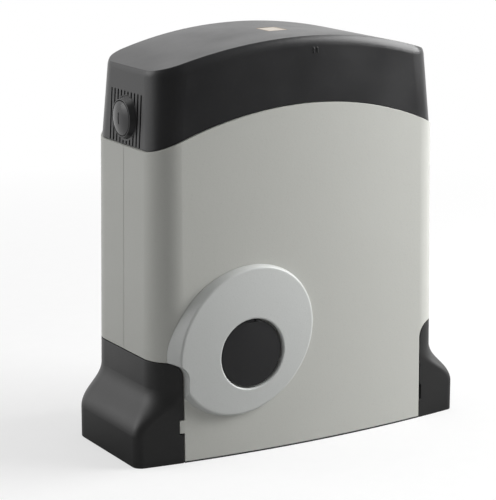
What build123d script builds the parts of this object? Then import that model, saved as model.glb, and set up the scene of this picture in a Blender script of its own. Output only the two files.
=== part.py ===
from build123d import *
from math import acos, cos, pi, radians, sin, sqrt, tan
import os

os.makedirs("parts", exist_ok=True)

# Sliding gate motor. Millimetres and degrees, +Z up, the front faces -Y.
# The origin is the middle of the base plate's underside.

# Casing: two painted shells
body_length = 310.0
body_depth = 152.0
bow_radius = 1100.0
corner_radius = 30.5
casing_draft = 0.8
casing_wall = 3.0
seam_gap = 0.4
cap_line_end = 279.5
cap_line_rise = 37.5
rib_depth = 5.0
rib_width = 2.2
rib_bottom = 20.0
rib_top_room = 13.0

# Top cover
cap_step = 1.0
cap_gap = 0.6
cap_wall = 2.8
cap_draft = 3.2
cap_corner_radius = 32.0
cap_height = 69.5
crown_rise = 27.5
shoulder_radius = 14.0
shoulder_cut = 4.7
vent_count = 10
vent_pitch = 6.2
vent_width = 2.2
vent_top_room = 18.5
vent_edge = 3.0
badge_length = 20.0
badge_width = 24.0
badge_thickness = 1.0
badge_gap = 0.15
badge_recess = 1.2
badge_corner = 1.5
badge_x = 1.0
badge_y = -4.0
tick_x = 9.0
tick_spacing = 4.0
tick_width = 1.2
tick_height = 5.0
tick_proud = 0.4
post_setback = 38.0
post_gap = 1.0
post_radius = 6.0
post_height = 23.0

# Lock
lock_rise = 27.0
collar_radius = 19.5
collar_tip_radius = 17.0
collar_stand = 4.8
collar_sink = 2.0
collar_edge_radius = 0.8
dial_radius = 15.4
dial_gap = 0.8
dial_sink = 3.0
dial_dome = 2.6
key_slot_height = 10.5
key_slot_width = 1.5
key_slot_depth = 4.0
lock_barrel_radius = 14.0
lock_barrel_length = 10.0
lock_core_radius = 11.0
lock_nut_radius = 17.5
lock_nut_thickness = 3.0
cam_reach = 18.0
cam_width = 9.0
cam_thickness = 2.5
cam_hub_radius = 6.5
catch_gap = 1.5
catch_start = 8.0
catch_width = 12.0
catch_thickness = 3.0

# Base plate
plate_thickness = 5.0
edge_thickness = 1.5
edge_step = 0.4
plate_gap = 0.8
anchor_inset_x = 22.5
anchor_inset_y = 41.0
anchor_slot_length = 22.0
anchor_slot_width = 11.0
levelling_inset_x = 19.0
levelling_inset_y = 27.0
levelling_radius = 4.0
levelling_length = 24.0
levelling_nut_width = 13.0
levelling_nut_height = 6.5
cable_room = 23.3
cable_inset_y = 36.0
cable_hole_radius = 14.0
grommet_wall = 4.0
grommet_lip = 3.5
grommet_lip_height = 2.5
grommet_sink = 4.0

# Foot covers
foot_setback = 25.5
foot_height = 93.0
foot_top_radius = 13.0
foot_flare = 19.5
foot_corner_radius = 9.0
foot_rear_radius = 22.0
foot_wall = 2.6
foot_gap = 1.0
flare_top = 68.0
flare_bottom = 29.0
flare_sections = 4
left_notch_low = 27.0
left_notch_high = 41.0
left_notch_depth = 4.0
right_notch_low = 18.0
right_notch_high = 33.0
right_notch_depth = 2.0

# Escutcheon and hatch on the front
output_height = 95.5
boss_shift_x = -3.5
boss_shift_z = 11.7
boss_half_length = 71.5
boss_half_width = 61.8
boss_tilt = 40.0
boss_stand = 8.5
boss_draft = 20.0
boss_root = 20.0
boss_dome_radius = 700.0
boss_edge_radius = 2.5
boss_seat_gap = 0.15
boss_hole_radius = 32.5
boss_hole_edge = 1.6
hatch_gap = 1.4
hatch_sink = 1.2
hatch_wall = 2.4
hatch_dome_radius = 260.0
hatch_edge_radius = 1.2
hatch_seat_gap = 0.3
hatch_finger_count = 3
hatch_finger_thickness = 1.6
hatch_finger_length = 6.0
hatch_notch_width = 9.0
hatch_notch_depth = 2.2
hatch_notch_reach = 3.0
hatch_hole_radius = 29.0

# Gears
worm_module = 2.5
wheel_teeth = 32
worm_radius = 10.0
worm_turns = 4
pressure_angle = 20.0
worm_backlash = 0.65
thread_sink = 0.4
wheel_width = 18.0
wheel_hub_radius = 24.0
wheel_hub_step = 2.0
wheel_recess = 3.0
pinion_module = 4.0
pinion_teeth = 16
pinion_width = 30.0
pinion_backlash = 0.2
dedendum = 1.25
worm_dedendum = 1.2
tooth_sink = 1.0

# Output shaft and clutch
shaft_radius = 12.5
shaft_tip_radius = 10.0
running_gap = 0.05
shield_depth = 0.6
fit_gap = 0.02
touch_gap = 0.3
clear_gap = 1.0
clutch_radius = 22.0
clutch_thickness = 8.0
clutch_travel = 4.0
dog_count = 6
dog_inner_radius = 15.0
dog_height = 3.0
dog_width = 6.0
rod_radius = 4.0
rod_pin_radius = 2.5
key_width = 6.0
key_height = 6.0
key_length = 24.0
washer_radius = 14.0
washer_thickness = 2.5
screw_head_radius = 6.5
screw_head_height = 5.5
screw_shank_radius = 3.5
screw_shank_length = 14.0
small_chamfer = 0.8

# Gearbox
gearbox_gap = 6.7
chamber_radius = 52.0
chamber_wall = 6.0
chamber_front = 30.0
chamber_rear = 32.0
rim_radius = 57.0
rim_thickness = 6.0
cover_thickness = 6.0
cover_boss_radius = 31.0
cover_boss_height = 10.0
cover_collar_height = 4.0
cover_edge_radius = 2.0
gearbox_screw_count = 6
gearbox_screw_circle = 52.0
gearbox_screw_radius = 2.5
gearbox_screw_head = 4.2
gearbox_screw_head_height = 4.0
gearbox_screw_length = 12.0
front_bearing_radius = 23.5
front_bearing_width = 12.0
rear_bearing_radius = 26.0
rear_bearing_width = 14.0
rear_boss_radius = 31.0
rear_boss_inset = 2.0
pinion_gap = 3.0
seal_width = 7.0
seal_setback = 2.0
tube_radius = 22.0
tube_floor = 46.0
tube_bottom_wall = 5.0
housing_foot_length = 126.0
housing_foot_width = 92.0
housing_foot_height = 8.0
housing_bolt_inset = 9.0
housing_bolt_radius = 4.0
housing_bolt_head = 7.0
housing_web_thickness = 7.0
housing_web_spacing = 40.0

# Release knob behind the hatch
knob_radius = 20.0
knob_thickness = 7.0
knob_hub_radius = 9.0
knob_grip_width = 10.0
knob_front = 61.0
knob_edge_radius = 1.5

# Motor
can_radius = 43.5
can_wall = 2.0
can_head_room = 27.5
fin_count = 28
fin_height = 2.0
fin_width = 1.6
flange_size = 92.0
flange_corner = 12.0
flange_thickness = 8.0
tie_spacing = 72.0
tie_radius = 2.2
tie_head_radius = 4.0
tie_head_height = 4.0
stator_inset = 22.0
stator_top_room = 26.0
stator_bore = 24.0
air_gap = 0.5
winding_height = 14.0
winding_outer = 38.0
winding_inner = 27.0
winding_rounding = 3.5
motor_shaft_radius = 7.5
bell_thickness = 5.0
bell_boss_radius = 20.0
bell_boss_height = 7.0
motor_bearing_radius = 16.0
motor_bearing_width = 10.0
motor_journal_radius = 6.0
worm_bearing_radius = 13.0
worm_bearing_width = 9.0
worm_journal_radius = 5.0
encoder_radius = 16.0
encoder_thickness = 1.2
encoder_hub_radius = 7.0
encoder_hub_height = 3.0
encoder_slots = 18
encoder_slot_inset = 2.5
encoder_slot_length = 3.0
encoder_slot_width = 1.8
sensor_width = 12.0
sensor_gap = 1.0
sensor_wall = 2.4

# Uprights and electronics
upright_setback = 27.0
upright_inset_y = 36.0
sheet = 2.5
upright_foot = 9.5
upright_lip = 18.0
window_width = 30.0
window_height = 45.0
upright_screw_radius = 2.5
upright_screw_head = 4.5
upright_screw_head_height = 3.5
tray_rise = 24.5
tray_end_gap = 2.0
tray_inset_y = 22.0
tray_thickness = 3.0
tray_corner = 10.0
tray_rim = 6.0
tray_rim_width = 2.0
lug_setback = 18.0
lug_width = 14.0
lug_reach = 13.0
lug_overhang = 3.5
lug_screw_inset = 7.0
board_end_room = 51.0
board_side_room = 11.0
board_thickness = 1.6
board_lift = 5.0
board_hole_inset = 5.0
standoff_radius = 4.0
small_screw_radius = 1.5
small_screw_head = 3.0
small_screw_head_height = 2.0
terminal_length = 42.0
terminal_depth = 11.0
terminal_height = 13.0
terminal_ways = 6
terminal_hole_radius = 2.2
relay_length = 28.0
relay_width = 12.5
relay_height = 16.0
relay_pitch = 16.0
fuse_length = 24.0
fuse_radius = 3.2
fuse_lift = 1.5
fuse_clip_width = 4.0
fuse_clip_wall = 1.0
board_capacitor_x = (-5.0, 12.0)
board_capacitor_radius = 6.0
board_capacitor_height = 20.0
board_capacitor_edge = 1.2
receiver_length = 38.0
receiver_height = 22.0
receiver_socket_width = 4.0
receiver_socket_height = 6.0
receiver_chip_thickness = 3.0
button_size = 12.0
button_height = 7.0
button_radius = 3.5
button_stand = 4.5
button_travel = 0.8
button_floor = 1.0
button_edge = 0.6
transformer_radius = 38.0
transformer_height = 40.0
transformer_bore = 12.0
capacitor_radius = 19.0
strap_gap = 12.0
capacitor_drop = 136.0
capacitor_height = 78.0
capacitor_edge = 2.0
capacitor_tab_thickness = 1.0
capacitor_tab_width = 6.3
capacitor_tab_height = 8.0
clip_thickness = 1.6
clip_height = 14.0

# Values that follow from the sizes above
margin = 5.0
lean = tan(radians(casing_draft))
cap_lean = tan(radians(cap_draft))
cap_line_middle = cap_line_end + cap_line_rise
crease_end = cap_line_end + cap_height
crease_middle = crease_end + crown_rise
vent_top = crease_end - vent_top_room
lock_height = cap_line_end + lock_rise
rib_top = cap_line_end - rib_top_room
tray_height = cap_line_end + tray_rise
post_top = tray_height + tray_thickness + post_height
foot_inner = body_length / 2 - foot_setback
foot_reach = body_length / 2 + foot_flare
upright_inner = body_length / 2 - upright_setback
upright_width = body_depth - 2 * upright_inset_y
anchor_spacing_x = 2 * (foot_reach - anchor_inset_x)
anchor_spacing_y = body_depth - 2 * anchor_inset_y
levelling_spacing_x = body_length - 2 * levelling_inset_x
levelling_spacing_y = body_depth - 2 * levelling_inset_y
tray_length = 2 * (upright_inner - tray_end_gap)
tray_width = body_depth - 2 * tray_inset_y
lug_x = upright_inner - lug_setback
lug_inner = tray_width / 2 - lug_reach
lug_outer = tray_width / 2 + lug_overhang
lug_screw_y = tray_width / 2 - lug_screw_inset
board_length = tray_length - 2 * board_end_room
board_width = tray_width - 2 * board_side_room
post_spacing_x = tray_length - 2 * post_setback
post_spacing_y = board_width + 2 * post_gap
output_x = rim_radius + gearbox_gap - upright_inner
boss_x = output_x + boss_shift_x
boss_z = output_height + boss_shift_z
rear_boss_end = body_depth / 2 - rear_boss_inset
cable_x = output_x - rim_radius + housing_foot_length + cable_room
cable_y = cable_inset_y - body_depth / 2
transformer_x = upright_inner - transformer_radius - strap_gap
capacitor_x = capacitor_radius + strap_gap - upright_inner
capacitor_bottom = tray_height - capacitor_drop
worm_lead = pi * worm_module
wheel_pitch_radius = worm_module * wheel_teeth / 2
worm_x = output_x + wheel_pitch_radius + worm_radius
worm_outer = worm_radius + worm_module
worm_root = worm_radius - worm_dedendum * worm_module
flange_top = output_height + rim_radius + flange_thickness + clear_gap
can_top = tray_height - tray_thickness - can_head_room
can_height = can_top - flange_top
stator_height = can_height - stator_inset - stator_top_room
foot_edge = foot_inner - foot_gap
boss_front = body_depth / 2 + boss_stand - lean * boss_z - (bow_radius - sqrt(bow_radius**2 - boss_x**2))
tray_top = tray_height + tray_thickness
board_bottom = tray_top + board_lift
board_top = board_bottom + board_thickness
foot_span = 2 * upright_inner + 2 * sheet + upright_foot


def bow_drop(x):
    """How far a long side falls back towards the ends of the casing."""
    return bow_radius - sqrt(bow_radius**2 - x**2)


def casing_face(x, z, inset=0.0):
    """Distance from the middle plane to a long side of the casing."""
    return body_depth / 2 - inset - lean * z - bow_drop(x)


def cap_end(z, inset=0.0):
    """Distance from the middle to a narrow end of the top cover."""
    return body_length / 2 - cap_step - inset - lean * cap_line_end - cap_lean * (z - cap_line_end)


def axis_y(x, z):
    """Work plane whose normal runs to the rear, along +Y."""
    return Plane(origin=(x, 0, z), x_dir=(1, 0, 0), z_dir=(0, 1, 0))


def axis_z(x, y):
    """Work plane whose normal runs up, along +Z."""
    return Plane(origin=(x, y, 0))


shaft_line = axis_y(output_x, output_height)
motor_line = axis_z(worm_x, 0)
lock_line = Plane(origin=(0, 0, lock_height), x_dir=(0, -1, 0), z_dir=(-1, 0, 0))


def plan_outline(half_length, half_depth, corner, rear_corner):
    """Plan of the casing: straight ends, bowed long sides, rounded corners."""
    drop = bow_drop(half_length)
    with BuildSketch() as outline:
        with BuildLine():
            corner_y = half_depth - drop
            front = ThreePointArc((-half_length, -corner_y), (0, -half_depth), (half_length, -corner_y))
            rear = ThreePointArc((half_length, corner_y), (0, half_depth), (-half_length, corner_y))
            Line(front @ 1, rear @ 0)
            Line(rear @ 1, front @ 0)
        make_face()
        fillet(outline.vertices().group_by(Axis.Y)[0], corner)
        fillet(outline.vertices().group_by(Axis.Y)[-1], rear_corner)
    return outline.sketch


def casing_form(inset, bottom, top):
    """Solid that fills the casing between two heights, set in by a distance."""
    with BuildPart() as form:
        with BuildSketch(Plane.XY.offset(bottom)):
            half_length = body_length / 2 - inset - lean * bottom
            half_depth = body_depth / 2 - inset - lean * bottom
            corner = corner_radius - inset - lean * bottom
            add(plan_outline(half_length, half_depth, corner, corner))
        extrude(amount=top - bottom, taper=casing_draft)
    return form.part


def below_arch(end_height, middle_height):
    """Block under an arch that spans the casing lengthways."""
    reach = body_length / 2
    with BuildPart() as block:
        with BuildSketch(Plane.XZ):
            with BuildLine():
                arch = ThreePointArc((-reach, end_height), (0, middle_height), (reach, end_height))
                Polyline(arch @ 1, (reach, -margin), (-reach, -margin), arch @ 0)
            make_face()
        extrude(amount=body_depth, both=True)
    return block.part


def cap_form(inset):
    """Solid that fills the top cover: leaning walls, rounded shoulder, sharp crease, arched crown."""
    rounding = shoulder_radius - inset
    height = crease_middle + shoulder_radius - cap_line_end
    low_corner = corner_radius - cap_step - lean * cap_line_end
    with BuildPart() as form:
        for level, corner in ((0, low_corner), (height, cap_corner_radius)):
            set_in = cap_step + inset + lean * cap_line_end + cap_lean * level
            with BuildSketch(Plane.XY.offset(cap_line_end + level)):
                half_depth = body_depth / 2 - set_in
                add(plan_outline(body_length / 2 - set_in, half_depth, corner - inset, corner - inset))
        loft(ruled=True)
        raised_end = crease_end + shoulder_cut - inset
        raised_middle = crease_middle + shoulder_cut - inset
        add(below_arch(raised_end, raised_middle), mode=Mode.INTERSECT)
        fillet(form.faces().sort_by(Axis.Z)[-1].edges(), rounding)
        add(below_arch(crease_end - inset, crease_middle - inset), mode=Mode.INTERSECT)
    return form.part


def foot_form(inset):
    """Solid that fills both foot covers: an ogee flare below the straight ends of the casing."""
    end = body_length / 2 - lean * flare_top
    corner = corner_radius - lean * flare_top
    with BuildPart() as form:
        for step in range(flare_sections + 1):
            height = flare_bottom + (flare_top - flare_bottom) * step / flare_sections
            swell = (1 + cos(pi * step / flare_sections)) / 2
            half_length = end + swell * (foot_reach - end) - inset
            front = corner + swell * (foot_corner_radius - corner) - inset
            rear = corner + swell * (foot_rear_radius - corner) - inset
            with BuildSketch(Plane.XY.offset(height)):
                add(plan_outline(half_length, body_depth / 2 - inset - lean * height, front, rear))
        loft()
        with BuildSketch(Plane.XY.offset(flare_bottom)):
            half_depth = body_depth / 2 - inset - lean * flare_bottom
            front = foot_corner_radius - inset
            add(plan_outline(foot_reach - inset, half_depth, front, foot_rear_radius - inset))
        extrude(amount=-flare_bottom)
        add(casing_form(inset, flare_top, foot_height + margin))
    return form.part


def foot_zone(side, gap):
    """Block that a foot cover fills, seen from the front; side is -1 on the left, 1 on the right."""
    near = side * (foot_inner - gap)
    far = side * (foot_reach + margin)
    with BuildPart() as block:
        with BuildSketch(Plane.XZ) as face:
            with BuildLine():
                top = foot_height + gap
                Polyline((near, -margin), (near, top), (far, top), (far, -margin), close=True)
            make_face()
            corner = face.vertices().group_by(Axis.Y)[-1].sort_by(Axis.X)[0 if side > 0 else -1]
            fillet(corner, foot_top_radius + gap)
        extrude(amount=body_depth, both=True)
    return block.part


def turned(line, steps):
    """Stepped round bar along a line: (start, end, radius) for each stretch."""
    with BuildPart() as bar:
        for start, end, radius in steps:
            with BuildSketch(line.offset(start)):
                Circle(radius)
            extrude(amount=end - start)
    return bar.part


def ring(line, start, end, outer, inner):
    """Plain ring along a line."""
    with BuildPart() as band:
        with BuildSketch(line.offset(start)):
            Circle(outer)
            Circle(inner, mode=Mode.SUBTRACT)
        extrude(amount=end - start)
    return band.part


def bearing(line, start, end, outer, inner):
    """Sealed ball bearing: a ring with a shallow groove for its shield on each face."""
    third = (outer - inner) / 3
    with BuildPart() as race:
        add(ring(line, start, end, outer, inner))
        add(ring(line, start, start + shield_depth, outer - third / 2, inner + third / 2), mode=Mode.SUBTRACT)
        add(ring(line, end - shield_depth, end, outer - third / 2, inner + third / 2), mode=Mode.SUBTRACT)
    return race.part


# Solids that several pieces are cut from
casing_outer = casing_form(0, edge_thickness, cap_line_middle + margin)
casing_inner = casing_form(casing_wall, 0, cap_line_middle + 2 * margin)
casing_top = below_arch(cap_line_end, cap_line_middle)
rib_room = casing_form(casing_wall + rib_depth, 0, cap_line_middle)
cap_outer = cap_form(0)
cap_inner = cap_form(cap_wall)
foot_outer = foot_form(0)
foot_inside = foot_form(foot_wall)
left_zone = foot_zone(-1, foot_gap)
right_zone = foot_zone(1, foot_gap)


# Base plate: a slab with slotted anchor holes, and a thin edge that the shells stand on
with BuildPart() as base_plate:
    with BuildSketch():
        slab_length = foot_reach - foot_wall - plate_gap
        slab_depth = body_depth / 2 - casing_wall - plate_gap
        slab_corner = foot_corner_radius - foot_wall
        add(plan_outline(slab_length, slab_depth, slab_corner, foot_rear_radius - foot_wall))
    extrude(amount=plate_thickness)
    with BuildSketch():
        edge_corner = corner_radius - edge_step
        add(plan_outline(body_length / 2 - edge_step, body_depth / 2 - edge_step, edge_corner, edge_corner))
        Rectangle(2 * foot_edge, body_depth, mode=Mode.INTERSECT)
    extrude(amount=edge_thickness)
    with BuildSketch():
        with GridLocations(anchor_spacing_x, anchor_spacing_y, 2, 2):
            SlotOverall(anchor_slot_length, anchor_slot_width)
        with GridLocations(levelling_spacing_x, levelling_spacing_y, 2, 2):
            Circle(levelling_radius)
        with GridLocations(foot_span, upright_width / 2, 2, 2):
            Circle(upright_screw_radius + fit_gap)
        with Locations((cable_x, cable_y)):
            Circle(cable_hole_radius)
    extrude(amount=plate_thickness, mode=Mode.SUBTRACT)
base_plate.part.label = "base_plate"
export_step(base_plate.part, "parts/base_plate.step")

# Levelling screws, each with its lock nut
with BuildPart() as levelling_screws:
    with BuildSketch(Plane.XY.offset(touch_gap)):
        with GridLocations(levelling_spacing_x, levelling_spacing_y, 2, 2):
            Circle(levelling_radius - fit_gap)
    extrude(amount=levelling_length)
    with BuildSketch(Plane.XY.offset(plate_thickness)):
        with GridLocations(levelling_spacing_x, levelling_spacing_y, 2, 2):
            RegularPolygon(levelling_nut_width / 2, 6, major_radius=False)
    extrude(amount=levelling_nut_height)
levelling_screws.part.label = "levelling_screws"
export_step(levelling_screws.part, "parts/levelling_screws.step")

# Rubber grommet in the cable hole
grommet_radius = cable_hole_radius - fit_gap
cable_line = axis_z(cable_x, cable_y)
with BuildPart() as cable_grommet:
    lip_top = plate_thickness + grommet_lip_height
    add(turned(cable_line, [(plate_thickness - grommet_sink, plate_thickness, grommet_radius)]))
    add(turned(cable_line, [(plate_thickness, lip_top, cable_hole_radius + grommet_lip)]))
    add(turned(cable_line, [(0, lip_top, grommet_radius - grommet_wall)]), mode=Mode.SUBTRACT)
cable_grommet.part.label = "cable_grommet"
export_step(cable_grommet.part, "parts/cable_grommet.step")

# Gearbox housing: wheel chamber, rear boss, upright worm tube, motor flange and foot
rear_seat = rear_boss_end - seal_setback - seal_width - rear_bearing_width
tube_seat = tube_floor + tube_bottom_wall
upper_seat = flange_top - 2 * clear_gap - worm_bearing_width
housing_foot_x = output_x - rim_radius + housing_foot_length / 2
with BuildPart() as gearbox_housing:
    add(turned(shaft_line, [(-chamber_front, chamber_rear, chamber_radius)]))
    add(turned(shaft_line, [(-chamber_front, rim_thickness - chamber_front, rim_radius)]))
    add(turned(shaft_line, [(chamber_rear - margin, rear_boss_end, rear_boss_radius)]))
    add(turned(motor_line, [(tube_floor, flange_top, tube_radius)]))
    with BuildSketch(motor_line.offset(flange_top - flange_thickness)):
        RectangleRounded(flange_size, flange_size, flange_corner)
    extrude(amount=flange_thickness)
    with BuildSketch(axis_z(housing_foot_x, 0).offset(plate_thickness)):
        RectangleRounded(housing_foot_length, housing_foot_width, flange_corner)
    extrude(amount=housing_foot_height)
    for side in (-1, 1):
        web_y = side * housing_web_spacing / 2
        with BuildSketch(Plane.XZ.offset(-web_y - housing_web_thickness / 2)):
            with BuildLine():
                Polyline(
                    (housing_foot_x - housing_foot_length / 2 + margin, plate_thickness),
                    (output_x - chamber_radius / 2, output_height),
                    (worm_x, output_height),
                    (housing_foot_x + housing_foot_length / 2 - margin, plate_thickness),
                    close=True,
                )
            make_face()
        extrude(amount=housing_web_thickness)
    hollow = (-chamber_front, chamber_rear - chamber_wall, chamber_radius - chamber_wall)
    add(turned(shaft_line, [hollow]), mode=Mode.SUBTRACT)
    add(turned(shaft_line, [(0, rear_seat, shaft_radius + margin)]), mode=Mode.SUBTRACT)
    add(turned(shaft_line, [(rear_seat, rear_boss_end, rear_bearing_radius + fit_gap)]), mode=Mode.SUBTRACT)
    add(turned(motor_line, [(tube_seat, flange_top, worm_bearing_radius + fit_gap)]), mode=Mode.SUBTRACT)
    with BuildSketch(axis_z(housing_foot_x, 0).offset(plate_thickness)):
        bolt_span_x = housing_foot_length - 2 * housing_bolt_inset
        bolt_span_y = housing_foot_width - 2 * housing_bolt_inset
        with GridLocations(bolt_span_x, bolt_span_y, 2, 2):
            Circle(housing_bolt_radius + fit_gap)
    extrude(amount=housing_foot_height, mode=Mode.SUBTRACT)
    with BuildSketch(motor_line.offset(flange_top - flange_thickness)):
        with GridLocations(tie_spacing, tie_spacing, 2, 2):
            Circle(tie_radius + fit_gap)
    extrude(amount=flange_thickness, mode=Mode.SUBTRACT)
    with BuildSketch(shaft_line.offset(-chamber_front)):
        with PolarLocations(gearbox_screw_circle, gearbox_screw_count):
            Circle(gearbox_screw_radius + fit_gap)
    extrude(amount=gearbox_screw_length - cover_thickness, mode=Mode.SUBTRACT)
gearbox_housing.part.label = "gearbox_housing"
export_step(gearbox_housing.part, "parts/gearbox_housing.step")

# Bolts that hold the gearbox to the base plate
with BuildPart() as housing_bolts:
    with BuildSketch(axis_z(housing_foot_x, 0).offset(plate_thickness)):
        with GridLocations(bolt_span_x, bolt_span_y, 2, 2):
            Circle(housing_bolt_radius)
    extrude(amount=housing_foot_height)
    with BuildSketch(axis_z(housing_foot_x, 0).offset(plate_thickness + housing_foot_height)):
        with GridLocations(bolt_span_x, bolt_span_y, 2, 2):
            RegularPolygon(housing_bolt_head, 6, major_radius=False)
    extrude(amount=margin)
housing_bolts.part.label = "housing_bolts"
export_step(housing_bolts.part, "parts/housing_bolts.step")

# Gearbox front cover with the bearing seat and the bush for the release knob
cover_front = chamber_front + cover_thickness + cover_boss_height
cover_face = chamber_front + cover_thickness
front_seat = chamber_front - cover_collar_height + front_bearing_width
with BuildPart() as gearbox_cover:
    add(turned(shaft_line, [(-cover_face, -chamber_front, rim_radius)]))
    add(turned(shaft_line, [(-cover_front, -cover_face, cover_boss_radius)]))
    collar = front_bearing_radius + margin
    add(turned(shaft_line, [(-chamber_front, cover_collar_height - chamber_front, collar)]))
    seat_end = cover_collar_height - chamber_front
    add(turned(shaft_line, [(-front_seat, seat_end, front_bearing_radius + fit_gap)]), mode=Mode.SUBTRACT)
    add(turned(shaft_line, [(-cover_front, 0, knob_hub_radius + running_gap)]), mode=Mode.SUBTRACT)
    with BuildSketch(shaft_line.offset(-cover_face)):
        with PolarLocations(gearbox_screw_circle, gearbox_screw_count):
            Circle(gearbox_screw_radius + fit_gap)
    extrude(amount=cover_thickness, mode=Mode.SUBTRACT)
    fillet(gearbox_cover.faces().sort_by(Axis.Y)[0].outer_wire().edges(), cover_edge_radius)
gearbox_cover.part.label = "gearbox_cover"
export_step(gearbox_cover.part, "parts/gearbox_cover.step")

with BuildPart() as gearbox_screws:
    with BuildSketch(shaft_line.offset(-cover_face)):
        with PolarLocations(gearbox_screw_circle, gearbox_screw_count):
            Circle(gearbox_screw_radius)
    extrude(amount=gearbox_screw_length)
    with BuildSketch(shaft_line.offset(-cover_face)):
        with PolarLocations(gearbox_screw_circle, gearbox_screw_count):
            Circle(gearbox_screw_head)
    extrude(amount=-gearbox_screw_head_height)
gearbox_screws.part.label = "gearbox_screws"
export_step(gearbox_screws.part, "parts/gearbox_screws.step")

# Bearings and seal of the output shaft
with BuildPart() as front_bearing:
    add(bearing(shaft_line, -front_seat, seat_end, front_bearing_radius, shaft_radius + running_gap))
front_bearing.part.label = "front_bearing"
export_step(front_bearing.part, "parts/front_bearing.step")

rear_bearing_end = rear_seat + rear_bearing_width
with BuildPart() as rear_bearing:
    add(bearing(shaft_line, rear_seat, rear_bearing_end, rear_bearing_radius, shaft_radius + running_gap))
rear_bearing.part.label = "rear_bearing"
export_step(rear_bearing.part, "parts/rear_bearing.step")

with BuildPart() as shaft_seal:
    seal_end = rear_bearing_end + seal_width
    add(bearing(shaft_line, rear_bearing_end, seal_end, rear_bearing_radius, shaft_radius + running_gap))
shaft_seal.part.label = "shaft_seal"
export_step(shaft_seal.part, "parts/shaft_seal.step")

# Output shaft: bored at the front for the clutch rod, cross slot for its pin
shoulder_y = rear_boss_end + pinion_gap
clutch_face = wheel_width / 2 + wheel_hub_step + touch_gap
pin_y = -clutch_face - clutch_thickness / 2
pinion_end = shoulder_y + pinion_width
with BuildPart() as output_shaft:
    add(turned(shaft_line, [(-front_seat + touch_gap, shoulder_y, shaft_radius)]))
    add(turned(shaft_line, [(shoulder_y, pinion_end, shaft_tip_radius)]))
    rod_end = pin_y + rod_pin_radius + margin
    add(turned(shaft_line, [(-front_seat, rod_end, rod_radius + running_gap)]), mode=Mode.SUBTRACT)
    with BuildSketch(Plane.YZ.offset(output_x)):
        slot_length = clutch_travel + 2 * rod_pin_radius + 2 * touch_gap
        with Locations((pin_y - clutch_travel / 2, output_height)):
            SlotOverall(slot_length, 2 * rod_pin_radius + 2 * running_gap)
    extrude(amount=2 * shaft_radius, both=True, mode=Mode.SUBTRACT)
    with BuildSketch(Plane.XY.offset(output_height + shaft_tip_radius - key_height / 2)):
        with Locations((output_x, pinion_end - key_length / 2)):
            Rectangle(key_width, key_length)
    extrude(amount=key_height, mode=Mode.SUBTRACT)
    tip_bore = screw_shank_radius + fit_gap
    add(turned(shaft_line, [(pinion_end - screw_shank_length, pinion_end, tip_bore)]), mode=Mode.SUBTRACT)
output_shaft.part.label = "output_shaft"
export_step(output_shaft.part, "parts/output_shaft.step")


def wheel_tooth(angle):
    """One tooth of the worm wheel, swept along the lead of the worm."""
    root = wheel_pitch_radius - dedendum * worm_module - tooth_sink / 2
    tip = wheel_pitch_radius + worm_module
    half = (pi * worm_module / 2 - worm_backlash) / 2
    slope = tan(radians(pressure_angle))
    root_half = half + (wheel_pitch_radius - root) * slope
    tip_half = half - (tip - wheel_pitch_radius) * slope
    turn = radians(angle)
    start = Vector(output_x, -wheel_width / 2, output_height)
    across = Vector(-sin(turn), 0, cos(turn))
    rise = worm_lead / (2 * pi * worm_radius)
    origin = start + across * (rise * wheel_width / 2)
    plane = Plane(origin=origin, x_dir=(cos(turn), 0, sin(turn)), z_dir=(0, -1, 0))
    with BuildPart() as tooth:
        with BuildSketch(plane):
            with BuildLine():
                Polyline((root, -root_half), (tip, -tip_half), (tip, tip_half), (root, root_half), close=True)
            make_face()
        extrude(amount=wheel_width * sqrt(1 + rise**2), dir=Vector(0, 1, 0) - across * rise)
    return tooth.part


# Worm wheel with a web recess on both faces and slots for the clutch dogs in its hub
with BuildPart() as worm_wheel:
    half_width = wheel_width / 2
    rim_root = wheel_pitch_radius - dedendum * worm_module
    add(turned(shaft_line, [(-half_width, half_width, rim_root)]))
    add([wheel_tooth(360 * tooth / wheel_teeth) for tooth in range(wheel_teeth)])
    web_outer = rim_root - margin
    for side in (-1, 1):
        face = side * half_width
        recess = ring(shaft_line, face, face - side * wheel_recess, web_outer, wheel_hub_radius)
        add(recess, mode=Mode.SUBTRACT)
    add(turned(shaft_line, [(-half_width - wheel_hub_step, half_width + wheel_hub_step, wheel_hub_radius)]))
    with BuildSketch(shaft_line.offset(-half_width - wheel_hub_step)):
        with PolarLocations((dog_inner_radius + clutch_radius) / 2, dog_count):
            Rectangle(clutch_radius - dog_inner_radius + 2 * touch_gap, dog_width + 2 * touch_gap)
    extrude(amount=dog_height + touch_gap, mode=Mode.SUBTRACT)
    add(turned(shaft_line, [(-body_depth, body_depth, shaft_radius + fit_gap)]), mode=Mode.SUBTRACT)
worm_wheel.part.label = "worm_wheel"
export_step(worm_wheel.part, "parts/worm_wheel.step")

# Clutch ring: slides on the shaft and locks it to the wheel by its dogs
with BuildPart() as clutch_ring:
    ring_end = -clutch_face
    add(turned(shaft_line, [(ring_end - clutch_thickness, ring_end, clutch_radius)]))
    with BuildSketch(shaft_line.offset(ring_end)):
        with PolarLocations((dog_inner_radius + clutch_radius) / 2, dog_count):
            Rectangle(clutch_radius - dog_inner_radius - touch_gap, dog_width)
    extrude(amount=dog_height)
    add(turned(shaft_line, [(-body_depth, 0, shaft_radius + running_gap)]), mode=Mode.SUBTRACT)
    with BuildSketch(Plane.YZ.offset(output_x)):
        with Locations((pin_y, output_height)):
            Circle(rod_pin_radius + fit_gap)
    extrude(amount=2 * clutch_radius, both=True, mode=Mode.SUBTRACT)
clutch_ring.part.label = "clutch_ring"
export_step(clutch_ring.part, "parts/clutch_ring.step")

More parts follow.
